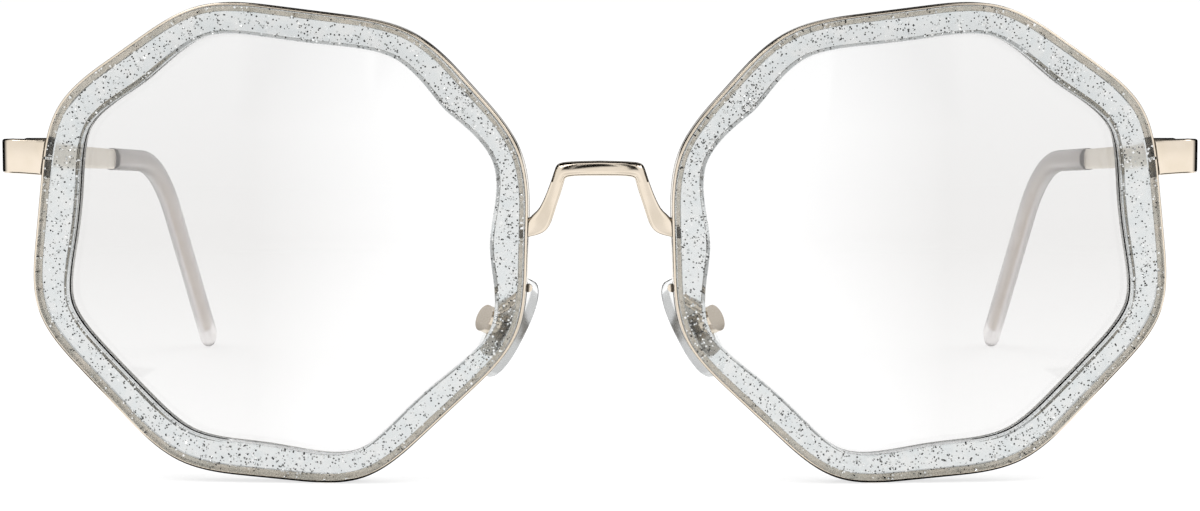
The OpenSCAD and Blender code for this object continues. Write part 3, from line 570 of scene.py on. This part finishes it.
def glitter(side, seed):
    """Foil flakes through the depth of the acetate, the silver ones mostly near its face, in clusters."""
    draw = random.Random(seed)
    points, faces, slots = [], [], []
    cluster = None
    for _ in range(FLAKES_TRIED):
        if cluster is None or draw.random() > STAY_IN_CLUSTER:
            cluster = (draw.random() * rim_count, draw.random())
        station = (cluster[0] + draw.gauss(0, CLUSTER_ALONG)) % rim_count
        across = min(1 - CLUSTER_EDGE, max(CLUSTER_EDGE, cluster[1] + draw.gauss(0, CLUSTER_ACROSS)))
        kind = draw.choices((0, 1, 2), FLAKE_SHARES)[0]
        i, part = int(station), station % 1
        after = (i + 1) % rim_count
        width = ring_width[i]
        out = -(BAND_T + FLAKE_OFF_BAND + across * (width - BAND_T - FLAKE_OFF_BOTH))
        back = FLAKE_OFF_FACE + (RING_D - 2 * FLAKE_OFF_FACE) * draw.random() ** FLAKE_POWERS[kind]
        if out > -BAND_T - TONGUE_REACH and draw.random() > KEPT_OVER_TONGUE:
            continue
        near_tongue = (out > -BAND_T - TONGUE_REACH - CLEAR_OF_TONGUE
                       and abs(back - mid_d) < TONGUE_D / 2 + CLEAR_OF_TONGUE)
        near_lens = (out < -width + lens_edge[i] + CLEAR_OF_LENS
                     and abs(back - lens_y(lens_rim[i])) < LENS_T / 2 + CLEAR_OF_LENS)
        if near_tongue or near_lens:
            back = FLAKE_OFF_FACE + draw.random() * FLAKE_FRONT
        here, there = (rim_line[k] + out * rim_out[k] for k in (i, after))
        flat = (1 - part) * here + part * there
        centre = on_rim(np.array([flat[0], back, flat[1]]))
        facing = unit([draw.gauss(0, FLAKE_TILTS[kind]), -1, draw.gauss(0, FLAKE_TILTS[kind])])
        size = draw.choice(FLAKE_SIZES[kind]) / 2
        base = len(points)
        points += flake(centre, facing, draw.random() * math.pi, size)
        faces += [(base, base + j, base + k) for j, k in ((1, 2), (2, 3), (3, 1))]
        faces.append((base + 1, base + 3, base + 2))
        slots += [kind] * 4
    piece = mesh_piece(f"{side}_glitter", to_row(points, side), faces,
                       [bright_foil, painted_half_shade_foil, painted_shade_foil], slots)
    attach(piece, "front")
    return piece


def lens(side):
    """Curved lens with a bevelled edge, made of rings from the middle of its back to that of its front."""
    rings = []
    for face, shares in ((1, LENS_SHARES), (-1, LENS_SHARES[::-1])):
        for share in shares:
            flat = share * lens_rim
            rings.append(np.stack([flat[:, 0], lens_y(flat) + face * LENS_T / 2, flat[:, 1]], axis=-1))
        if face == 1:
            edge = lens_rim + lens_edge[:, None] * rim_out
            rings.append(np.stack([edge[:, 0], lens_y(lens_rim), edge[:, 1]], axis=-1))
    glass = loft(f"{side}_lens_ground", on_rim(np.array(rings)), side, [lens_clear], sharp=25)
    glass.visible_shadow = False  # a clear lens hardly shades the floor
    return stand_for(glass, f"{side}_lens", "front")


# Bridge

def bridge_edge(shares):
    """One edge of the bridge as (across, up) points, finely spaced along its curve."""
    points = np.array(shares) * [RIM_GAP / 2, BRIDGE_TOP - BRIDGE_LOW] + [0, BRIDGE_LOW]
    return open_curve(points, 12)


def band_skin(z, sign):
    """How far out the rim wire's band stands at some heights, on its nose side (-1) or temple side (1)."""
    near = sign * rim_line[:, 0] > RIM_W / 4
    skin = on_rim(np.stack([rim_line[near, 0], np.full(near.sum(), mid_d), rim_line[near, 1]], axis=-1))
    skin = skin[np.argsort(skin[:, 2])]
    return np.interp(z, skin[:, 2], skin[:, 0])


def from_rim(edge):
    """An edge of a leg from just under the skin of the rim wire's band to its end, in even steps."""
    inside = edge[:, 0] < band_skin(edge[:, 1], -1) + LEG_SUNK
    kept = edge[int(np.argmax(inside)):]
    at = np.linspace(0, len(kept) - 1, 40)
    return np.stack([np.interp(at, np.arange(len(kept)), kept[:, k]) for k in (0, 1)], axis=-1)


def edge_ring(upper, lower, y, depth, squareness, leaning=0):
    """Section between a point on the upper edge and one on the lower, whose top may lean back."""
    middle, half = (upper + lower) / 2, (upper - lower) / 2
    q = oval(depth, 2, squareness, BRIDGE_SIDES)
    back = y + q[:, 0] + leaning * q[:, 1]
    return np.stack([middle[0] + q[:, 1] * half[0], back, middle[1] + q[:, 1] * half[1]], axis=-1)


def bridge():
    """One bar, flattened and turned down at both ends into the legs that are brazed to the rims."""
    bar_y = BRIDGE_D / 2 - BAR_AHEAD
    leg_top_y = bar_y + BRIDGE_BOW + LEG_BEHIND
    outer, inner = from_rim(bridge_edge(LEG_OUTER_EDGE)), from_rim(bridge_edge(LEG_INNER_EDGE))
    leg_y = np.linspace(mid_d, leg_top_y, len(outer))
    leg = [edge_ring(a, b, y, LEG_D, LEG_SQUARENESS) for a, b, y in zip(outer, inner, leg_y)]
    upper, lower = bridge_edge(BAR_UPPER_EDGE), bridge_edge(BAR_LOWER_EDGE)
    bowed_y = bar_y + BRIDGE_BOW * (upper[:, 0] / upper[0, 0]) ** 2
    bar = [edge_ring(a, b, y, BAR_D, BAR_SQUARENESS, BAR_LEANING) for a, b, y in zip(upper, lower, bowed_y)]
    half = np.array(leg + bar)
    other = half[-2::-1] * [-1, 1, 1]
    formed = loft("bridge_formed", np.concatenate([half, other]), "left", [champagne])
    return stand_for(formed, "bridge", "front")


# End pieces, temples and sleeves

hinge_low, hinge_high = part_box("left_hinge_screw")
end_low, end_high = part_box("left_end_piece")
hinge_y = (hinge_low.y + hinge_high.y) / 2 / MM - front_y
temple_start = np.array([end_high.x / MM - END_T / 2, hinge_y + RUN, END_Z + END_RISE])
bend_arc = (DROP - TEMPLE_SLOPE) * BEND_R


def end_piece(side):
    """Strip brazed to the rim that turns back in one smooth bend to the hinge, its edges tumbled."""
    face_y, outer_x = end_low.y / MM - front_y, end_high.x / MM
    bend_x, bend_y, turn = outer_x - END_BEND_R, face_y + END_BEND_R, END_BEND_R - END_T / 2
    rim_x = outer_x - END_REACH
    line = [(rim_x + x, face_y + END_T / 2, 0) for x in (0, *CREVICE_STEPS)]
    line += [(x, face_y + END_T / 2, 0) for x in np.linspace(rim_x + CREVICE_PAST, bend_x, 6)]
    line += [(bend_x + turn * math.sin(a), bend_y - turn * math.cos(a), a)
             for a in np.linspace(0, math.pi / 2, 17)[1:]]
    line += [(outer_x - END_T / 2, y, math.pi / 2) for y in np.linspace(bend_y, hinge_y - RUN, 4)[1:]]
    rings = []
    for x, y, a in line:
        share = min(1, (x - rim_x) / (bend_x - rim_x))
        lowered = max(0, y - face_y - END_T) / (hinge_y - face_y - END_T)
        half = (END_H_RIM + (END_H_BEND - END_H_RIM) * share + (TEMPLE_H - END_H_BEND) * lowered) / 2
        corners = [(END_T / 2, -half), (END_T / 2, half), (-END_T / 2, half), (-END_T / 2, -half)]
        section = rounded(corners, [END_EDGE, END_EDGE, END_BACK_EDGE, END_BACK_EDGE], steps=7)
        rings.append(np.stack([x + section[:, 0] * math.sin(a), y - section[:, 0] * math.cos(a),
                               END_Z + END_RISE * share + section[:, 1]], axis=-1))
    for ring, past in zip(rings, (-END_SUNK, *CREVICE_STEPS)):
        ring[:, 0] = band_skin(ring[:, 2], 1) + past
        recess = CREVICE - math.sqrt(CREVICE ** 2 - (CREVICE - max(0, min(past, CREVICE))) ** 2)
        ring[:, 1] = np.maximum(ring[:, 1], face_y + recess)
    strip = loft(f"{side}_end_piece_bent", np.array(rings), side, [champagne])
    return stand_for(strip, f"{side}_end_piece", "front")


def fall(s):
    """Angle below level of the temple's path, at a distance from the hinge."""
    return TEMPLE_SLOPE + (DROP - TEMPLE_SLOPE) * min(1, max(0, (s - BEND_AT) / bend_arc))


def side_way(s):
    """Distance back and height of the temple's path, at a distance from the hinge."""
    straight, bent = min(s, BEND_AT), min(max(s - BEND_AT, 0), bend_arc)
    past = max(s - BEND_AT - bend_arc, 0)
    a = fall(BEND_AT + bent)
    bend_back = BEND_R * (math.sin(a) - math.sin(TEMPLE_SLOPE))
    bend_rise = BEND_R * (math.cos(a) - math.cos(TEMPLE_SLOPE))
    return np.array([straight * math.cos(TEMPLE_SLOPE) + bend_back + past * math.cos(DROP),
                     -straight * math.sin(TEMPLE_SLOPE) + bend_rise - past * math.sin(DROP)])


def temple_ring(s, width, height, squareness):
    """Section of the temple or sleeve at a distance from the hinge."""
    back, rise = side_way(s)
    place = temple_start + [-math.tan(LEAN) * max(0, back - STRAIGHT_L), back, rise]
    inward = -math.tan(LEAN) * math.cos(fall(s)) if s > STRAIGHT_L + STRAIGHT_PAST else 0
    along = [0, 1, 0] if s == 0 else [inward, math.cos(fall(s)), -math.sin(fall(s))]
    return carried(oval(width, height, squareness, TEMPLE_SIDES), place, along)


sleeve_foot = min(e[0] * math.sin(DROP) - e[1] * SLEEVE_END_H / 2 * math.cos(DROP) for e in SLEEVE_END)
drop_l = (temple_start[2] + side_way(BEND_AT + bend_arc)[1] + sleeve_foot) / math.sin(DROP)
temple_end = BEND_AT + bend_arc + drop_l - SLEEVE_SHORT
core_end = temple_end - SLEEVE_PAST


def temple(side):
    """Flat bar that narrows to a neck at the sleeve's mouth and to the round core wire inside it."""
    rings = []
    for k in np.linspace(0, 1, 15):
        thick, high = END_T + (BAR_T - END_T) * k, TEMPLE_H + (BAR_H - TEMPLE_H) * k
        rings.append(temple_ring(k * (SLEEVE_AT - RUN), thick, high, TEMPLE_SQUARENESS))
    for s in (SLEEVE_AT - RUN, SLEEVE_AT + MOUTH_L - RUN):
        rings.append(temple_ring(s, NECK_W, NECK_H, NECK_SQUARENESS))
    for s in np.linspace(SLEEVE_AT + MOUTH_L - RUN, core_end, 30):
        rings.append(temple_ring(s, CORE_W, CORE_H, ROUND))
    bar = loft(f"{side}_temple_rolled", np.array(rings), side, [satin_champagne])
    return stand_for(bar, f"{side}_temple", f"{side}_temple_body")


def sleeve_ring(s, share):
    """Outside of the sleeve, which grows higher past the bend, as a share of its full section."""
    grown = max(0, min(1, (s - BEND_AT) / (temple_end - BEND_AT)))
    height = SLEEVE_H + (SLEEVE_END_H - SLEEVE_H) * grown
    return temple_ring(s, share * SLEEVE_T, share * height, SLEEVE_SQUARENESS)


def temple_sleeve(side):
    """Sleeve skinned from the bottom of its bore, out at its mouth and back along its outside."""
    mouth_end = SLEEVE_AT + MOUTH_L + CORE_FIT
    rings = [temple_ring(s, CORE_W + 2 * CORE_FIT, CORE_H + 2 * CORE_FIT, ROUND)
             for s in np.linspace(core_end + CORE_FIT, mouth_end, 30)]
    rings += [temple_ring(s, NECK_W + 2 * CORE_FIT, NECK_H + 2 * CORE_FIT, NECK_SQUARENESS)
              for s in (mouth_end, SLEEVE_AT)]
    rings += [sleeve_ring(SLEEVE_AT + s, share) for s, share in SLEEVE_MOUTH]
    rings += [sleeve_ring(s, 1) for s in np.linspace(SLEEVE_AT + 1, temple_end - 2, 40)]
    rings += [sleeve_ring(temple_end - before, share) for before, share in SLEEVE_END]
    sleeve = loft(f"{side}_temple_sleeve_drawn", np.array(rings), side, [sleeve_acetate])
    return stand_for(sleeve, f"{side}_temple_sleeve", f"{side}_temple_body")


# Nose pads

def from_pad(v):
    """Point in a pad's own frame, whose face looks along -X, to the front."""
    x, y, z = v
    across = x * math.cos(PAD_SPLAY) + y * math.sin(PAD_SPLAY)
    back = y * math.cos(PAD_SPLAY) - x * math.sin(PAD_SPLAY)
    return np.array([PAD_X + across * math.cos(PAD_TILT) - z * math.sin(PAD_TILT),
                     PAD_Y + back,
                     PAD_Z + z * math.cos(PAD_TILT) + across * math.sin(PAD_TILT)])


def nose_pad(side):
    """Rounded pad, thinner and narrower towards its ends and a little wider at its foot."""
    rings = []
    for a in np.linspace(-PAD_TURN, PAD_TURN, 29):
        k = math.sin(math.radians(a))
        share = (1 - abs(k) ** PAD_SQUARE) ** (1 / PAD_SQUARE)
        thick = PAD_T * (PAD_EDGE + (1 - PAD_EDGE) * share)
        wide = PAD_W * share * (1 - PAD_NARROWING * k)
        section = oval(thick, wide, PAD_SQUARE, PAD_SIDES)
        rings.append([from_pad((q[0], q[1], k * PAD_L / 2)) for q in section])
    pad = loft(f"{side}_nose_pad_moulded", np.array(rings), side, [silicone])
    return stand_for(pad, f"{side}_nose_pad", f"{side}_pad_body")


def box_side(past):
    """Point beside the round pad box, so far past its wall, where the arm comes in."""
    reach, deep = BOX_R + past, PAD_T / 2 + BOX_GAP + ARM_DEEP * BOX_D
    return from_pad((deep, -reach * math.cos(ARM_TURN), reach * math.sin(ARM_TURN)))


def pad_arm(side):
    """Round wire off the back of the rim wire, behind the ring and down to the side of the box."""
    arm_z = PAD_Z + ARM_RISE
    near = rim_line[:, 0] < 0
    height = np.where(near, np.abs(rim_line[:, 1] - rim_low - arm_z), FAR)
    edge = rim_line[int(np.argmin(height)), 0] - nose_side - ARM_IN
    back = mid_d + BAND_D / 2 + SEAT
    foot_x = RIM_GAP / 2 + edge * math.cos(WRAP) - back * math.sin(WRAP)
    foot_y = edge * math.sin(WRAP) + back * math.cos(WRAP)
    points = [(foot_x, foot_y, arm_z), (foot_x + ARM_OFF_BAND[0], foot_y + ARM_OFF_BAND[1], arm_z),
              *((foot_x + x, RING_D + y, arm_z - drop) for x, y, drop in ARM_BEHIND_RING),
              box_side(ARM_BY_BOX), box_side(SEAT)]
    line = open_curve(points, 8)
    ways = np.gradient(line, axis=0)
    ways[0] = [-math.sin(WRAP), math.cos(WRAP), 0]
    ways[-1] = box_side(0) - box_side(1)
    section = oval(2 * ARM_R, 2 * ARM_R, ROUND, ARM_SIDES)
    rings = [carried(section, place, way) for place, way in zip(line, ways)]
    arm = loft(f"{side}_pad_arm_bent", np.array(rings), side, [champagne])
    return stand_for(arm, f"{side}_pad_arm", "front")


# Small pieces that keep their construction, with their edges broken as tumbling leaves them

def edge_broken(node, material, width):
    """The node keeps its solid, gets its finish, and has its edges broken by so many millimetres."""
    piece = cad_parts[node]
    piece.data.materials.clear()
    piece.data.materials.append(material)
    joined = piece.modifiers.new("flat_faces", "DECIMATE")
    joined.decimate_type = "DISSOLVE"
    joined.angle_limit = FLAT_WITHIN
    bevel = piece.modifiers.new("broken_edges", "BEVEL")
    bevel.width = width * MM
    bevel.segments = 3
    bevel.limit_method = "ANGLE"
    bevel.angle_limit = BROKEN_FROM


def small_pieces(side):
    """Locks, hinges, screws and pad fittings, each with the width in mm of its broken edges."""
    for name, material, slot, width in (
        ("lock_upper", champagne, "champagne_metal", 0.1),
        ("lock_lower", champagne, "champagne_metal", 0.1),
        ("front_hinge", champagne, "champagne_metal", 0.06),
        ("temple_hinge", champagne, "champagne_metal", 0.06),
        ("lock_screw", screw_steel, "screw_steel", 0.04),
        ("hinge_screw", screw_steel, "screw_steel", 0.04),
        ("pad_box", champagne, "pad_metal", 0.3),
        ("pad_screw", screw_steel, "screw_steel", 0.03),
        ("pad_insert", screw_steel, "screw_steel", 0.05),
    ):
        edge_broken(f"{side}_{name}", material, width)


bridge()
for seed, side in enumerate(SIDES):
    rim_wire(side)
    acetate_ring(side)
    glitter(side, seed + 1)
    lens(side)
    end_piece(side)
    temple(side)
    temple_sleeve(side)
    nose_pad(side)
    pad_arm(side)
    small_pieces(side)


# Studio, in millimetres of the row frame but for the floor and lamps. The surroundings are white to the
# eye. Black felts show only in metal and at clear edges, and put no shade on the object

# Floor: radius in metres, sides, and the glow that makes it white to the eye
FLOOR_R, FLOOR_SIDES, FLOOR_GLOW = 8, 64, 0.73
# Surroundings as they light the object, as the eye sees them, and as metal shows them in metal
ROOM_LIGHT, EYE_LIGHT, DEEP_LIGHT = 0.75, 1.0, 0.2
# Share of a felt that shows through two clear pieces
FELT_BEYOND = 0.3

# Level felts beside the object, given for the wearer's left and mirrored: x and y from and to, height,
# how far the felt thins out past its edge as a share of its half width, and how much of it shows
# through a clear piece
LEVEL_CARDS = {
    "back_floor_card": (48, 80, 95, 233, 1, 0.05, 0.8),
    "outer_floor_card": (96, 170, 40, 233, 1, 0.1, 0.5),
    "low_floor_card": (74, 125, -110, -66, 1, 0.04, 0.5),
    "corner_card": (80, 103, -210, -100, 240, 0.1, 0.5),
    "brow_card": (34, 150, -125, -45, 240, 0.1, 0.5),
}
# Level felts across the middle
MIDDLE_CARDS = {
    "overhead_card": (-150, 150, -40, 160, 240, 0.25, 0.3),
    "floor_card": (-60, 60, -76, -58, 0.05, 0.05, 0.5),
}
# Upright felts, by the corners of their full part and of where they have thinned out: (y, z) for the
# side card, and (x, z) for those ahead, which stay mostly above what the lenses mirror
SIDE_CARD_X, SIDE_CARD_INSIDE = 170, 0.4
SIDE_CARD = ([(-25, 0), (250, 0), (250, 200), (-25, 200)],
             [(-78, -60), (280, -60), (280, 260), (-78, 260)])
AHEAD_Y, AHEAD_INSIDE = -250, 0.5
SHOULDER_CARD = ([(50, 92), (80, 92), (80, 600), (50, 600)],
                 [(44, 58), (100, 58), (100, 620), (44, 620)])
FRONT_CARD = ([(-40, 90), (-40, 600), (24, 600), (24, 200)],
              [(-46, 58), (-46, 620), (30, 620), (30, 140)])
# Leg card, on the floor ahead: (y, weight) away from the object, and (x, weight) outwards
LEG_CARD_ROWS = [(-100, 0), (-125, 0.3), (-160, 0.17), (-250, 0.15), (-290, 0)]
LEG_CARD_ACROSS = [(8, 0), (12, 1), (38, 1), (44, 0)]
LEG_CARD_Z, LEG_CARD_INSIDE = 1, 0.5
# Back card, a wall: x from the middle outwards, and rows of (z, weights at those x)
BACK_CARD_Y, BACK_CARD_INSIDE = 235, 0.35
BACK_CARD_OUT = (0, 28, 33, 42, 48, 95, 105, 165, 175)
BACK_CARD_NONE = (0, 0, 0, 0, 0, 0, 0, 0, 0)
BACK_CARD_LOW = (1, 1, 0, 0, 0, 0, 1, 1, 0)
BACK_CARD_SOFT = (1, 0.4, 0.4, 0.4, 1, 1, 1, 1, 0)
BACK_CARD_HIGH = (1, 1, 1, 1, 1, 1, 1, 1, 0)
BACK_CARD_ROWS = [(0, BACK_CARD_NONE), (3, BACK_CARD_LOW), (45, BACK_CARD_LOW), (54, BACK_CARD_SOFT),
                  (96, BACK_CARD_SOFT), (104, BACK_CARD_HIGH), (235, BACK_CARD_HIGH), (245, BACK_CARD_NONE)]

# Lamps: place and size in metres, power in watts
LAMPS = {"key_lamp": ((-0.5, -0.6, 1.1), 0.8, 4), "fill_lamp": ((0.7, -0.3, 0.9), 0.8, 2.5)}

# Camera, in millimetres and degrees: ahead of the rims' fronts, above the ground, tilted down
CAMERA_AHEAD, CAMERA_HEIGHT, CAMERA_TILT = 405, 65.68, 5.3
CAMERA_LENS, CAMERA_SENSOR = 101.24, 36


def seen_by_eye(tree):
    """1 for what the camera sees, itself or in metal and glass, and 0 for light on the object."""
    path = add(tree, "LightPath")
    seen = path.outputs["Is Camera Ray"]
    for way in ("Is Glossy Ray", "Is Transmission Ray"):
        seen = add(tree, "Math", {"operation": "MAXIMUM"}, i0=seen, i1=path.outputs[way]).outputs[0]
    return seen


def in_depth(tree):
    """1 where light is mirrored more than once before the eye, in one clear piece at most, else 0."""
    path = add(tree, "LightPath")
    mirrored = add(tree, "MapRange", Value=path.outputs["Glossy Depth"], i1=1.0, i2=2.0).outputs[0]
    shallow = add(tree, "MapRange", Value=path.outputs["Transmission Depth"],
                  i1=2.0, i2=3.0, i3=1.0, i4=0.0).outputs[0]
    return add(tree, "Math", {"operation": "MULTIPLY"}, i0=mirrored, i1=shallow).outputs[0]


def in_studio(name, points, faces, material):
    """Object of the studio, which isn't part of the glasses."""
    mesh = bpy.data.meshes.new(name)
    mesh.from_pydata([tuple(p) for p in points], [], faces)
    mesh.materials.append(material)
    thing = bpy.data.objects.new(name, mesh)
    bpy.context.scene.collection.objects.link(thing)
    return thing


def pale_floor():
    """Floor that keeps the object's shadow and shows white to the eye."""
    material, tree = new_material("pale_studio_floor")
    plain = add(tree, "BsdfDiffuse", Color=colour("#E8E8E8"))
    lit = add(tree, "BsdfDiffuse", Color=colour("#A8A8A8"))
    glow = add(tree, "Emission", Color=colour("#FFFFFF"), Strength=FLOOR_GLOW)
    shown = add(tree, "AddShader", i0=lit.outputs[0], i1=glow.outputs[0])
    shallow = add(tree, "MixShader", i0=seen_by_eye(tree), i1=plain.outputs[0], i2=shown.outputs[0])
    dim = add(tree, "BsdfDiffuse", Color=colour("#6A6A6A"))
    finish_with(tree, add(tree, "MixShader", i0=in_depth(tree), i1=shallow.outputs[0], i2=dim.outputs[0]))
    turns = np.arange(FLOOR_SIDES) * 2 * math.pi / FLOOR_SIDES
    ring = np.stack([FLOOR_R * np.cos(turns), FLOOR_R * np.sin(turns), 0 * turns], axis=-1)
    in_studio("studio_floor", ring, [tuple(range(FLOOR_SIDES))], material)


def white_world():
    """White surroundings for the eye, and a plain even light for the object."""
    world = bpy.data.worlds.new("white_studio")
    bpy.context.scene.world = world
    world.use_nodes = True
    tree = world.node_tree
    tree.nodes.clear()
    plain = add(tree, "MapRange", Value=seen_by_eye(tree), i3=ROOM_LIGHT, i4=EYE_LIGHT)
    strength = add(tree, "MapRange", Value=in_depth(tree), i3=plain.outputs[0], i4=DEEP_LIGHT)
    out = tree.nodes.new("ShaderNodeOutputWorld")
    back = add(tree, "Background", Color=colour("#FFFFFF"), Strength=strength.outputs[0])
    tree.links.new(back.outputs[0], out.inputs[0])


def felt(name, points, faces, weights, inside):
    """Black felt that shows in polished metal and at clear edges, thinner where its weight is less."""
    material, tree = new_material(name + "_felt")
    black = add(tree, "BsdfDiffuse", Color=colour("#0A0A09"))
    clear = add(tree, "BsdfTransparent")
    path = add(tree, "LightPath")
    depth = path.outputs["Transmission Depth"]
    mirrored = add(tree, "Math", {"operation": "MINIMUM"}, i0=path.outputs["Glossy Depth"], i1=1.0)
    within = add(tree, "MapRange", Value=depth, i3=1.0, i4=inside)
    beyond = add(tree, "MapRange", Value=depth, i1=2.0, i2=3.0, i3=1.0, i4=FELT_BEYOND)
    dark = add(tree, "Attribute", {"attribute_name": "weight"}).outputs["Fac"]
    for share in (mirrored, within, beyond):
        dark = add(tree, "Math", {"operation": "MULTIPLY"}, i0=dark, i1=share.outputs[0]).outputs[0]
    finish_with(tree, add(tree, "MixShader", i0=dark, i1=clear.outputs[0], i2=black.outputs[0]))
    card = in_studio(name, np.array(points, float) * MM, faces, material)
    card.data.attributes.new("weight", "FLOAT", "POINT").data.foreach_set("value", weights)
    card.visible_camera = card.visible_diffuse = card.visible_shadow = False


def framed_felt(name, inner, outer, inside):
    """Felt that thins out from its inner corners to its outer ones."""
    count = len(inner)
    faces = [tuple(range(count))]
    faces += [(k, (k + 1) % count, count + (k + 1) % count, count + k) for k in range(count)]
    felt(name, [*inner, *outer], faces, [1.0] * count + [0.0] * count, inside)


def level_card(name, sign, x_from, x_to, y_from, y_to, z, feather, inside):
    """Level rectangle of felt, mirrored where the sign is -1."""
    inner = np.array([(sign * x_from, y_from, z), (sign * x_to, y_from, z),
                      (sign * x_to, y_to, z), (sign * x_from, y_to, z)], float)
    framed_felt(name, inner, inner + feather * (inner - inner.mean(axis=0)), inside)


def graded_felt(name, points, weights, across, inside):
    """Felt over a grid of points, given row by row with so many across."""
    faces = [(i + k, i + k + 1, i + across + k + 1, i + across + k)
             for i in range(0, len(points) - across, across) for k in range(across - 1)]
    felt(name, points, faces, [float(w) for w in weights], inside)


def studio_cards():
    """All felts: they give the metal and the clear edges their dark lines, as in a bright-field studio."""
    for sign, side in ((-1, "right"), (1, "left")):
        for name, card in LEVEL_CARDS.items():
            level_card(f"{side}_{name}", sign, *card)
        inner, outer = ([(sign * SIDE_CARD_X, y, z) for y, z in corners] for corners in SIDE_CARD)
        framed_felt(f"{side}_side_card", inner, outer, SIDE_CARD_INSIDE)
        inner, outer = ([(sign * x, AHEAD_Y, z) for x, z in corners] for corners in SHOULDER_CARD)
        framed_felt(f"{side}_shoulder_card", inner, outer, AHEAD_INSIDE)
        points = [(sign * x, y, LEG_CARD_Z) for y, _ in LEG_CARD_ROWS for x, _ in LEG_CARD_ACROSS]
        weights = [deep * wide for _, deep in LEG_CARD_ROWS for _, wide in LEG_CARD_ACROSS]
        graded_felt(f"{side}_leg_card", points, weights, len(LEG_CARD_ACROSS), LEG_CARD_INSIDE)
    for name, card in MIDDLE_CARDS.items():
        level_card(name, 1, *card)
    inner, outer = ([(x, AHEAD_Y, z) for x, z in corners] for corners in FRONT_CARD)
    framed_felt("front_card", inner, outer, AHEAD_INSIDE)
    across = [-x for x in BACK_CARD_OUT[:0:-1]] + list(BACK_CARD_OUT)
    points = [(x, BACK_CARD_Y, z) for z, _ in BACK_CARD_ROWS for x in across]
    weights = [w for _, row in BACK_CARD_ROWS for w in (*row[:0:-1], *row)]
    graded_felt("back_card", points, weights, len(across), BACK_CARD_INSIDE)


def soft_lamp(name, place, size, power):
    """Round lamp aimed at the object."""
    data = bpy.data.lights.new(name, "AREA")
    data.shape = "DISK"
    data.size = size
    data.energy = power
    lamp = bpy.data.objects.new(name, data)
    lamp.location = place
    lamp.rotation_euler = Vector(unit(-np.array(place))).to_track_quat("-Z", "Y").to_euler()
    bpy.context.scene.collection.objects.link(lamp)


def camera():
    """Long lens in front of the bridge, a little above it and looking slightly down."""
    data = bpy.data.cameras.new("camera")
    data.sensor_width = CAMERA_SENSOR
    data.lens = CAMERA_LENS
    data.clip_start, data.clip_end = 0.01, 50
    eye = bpy.data.objects.new("camera", data)
    eye.location = (0, (front_y - CAMERA_AHEAD) * MM, CAMERA_HEIGHT * MM)
    eye.rotation_euler = (math.radians(90 - CAMERA_TILT), 0, 0)
    bpy.context.scene.collection.objects.link(eye)
    bpy.context.scene.camera = eye


pale_floor()
white_world()
studio_cards()
for name, lamp in LAMPS.items():
    soft_lamp(name, *lamp)
camera()
bpy.context.scene.view_settings.view_transform = "Standard"
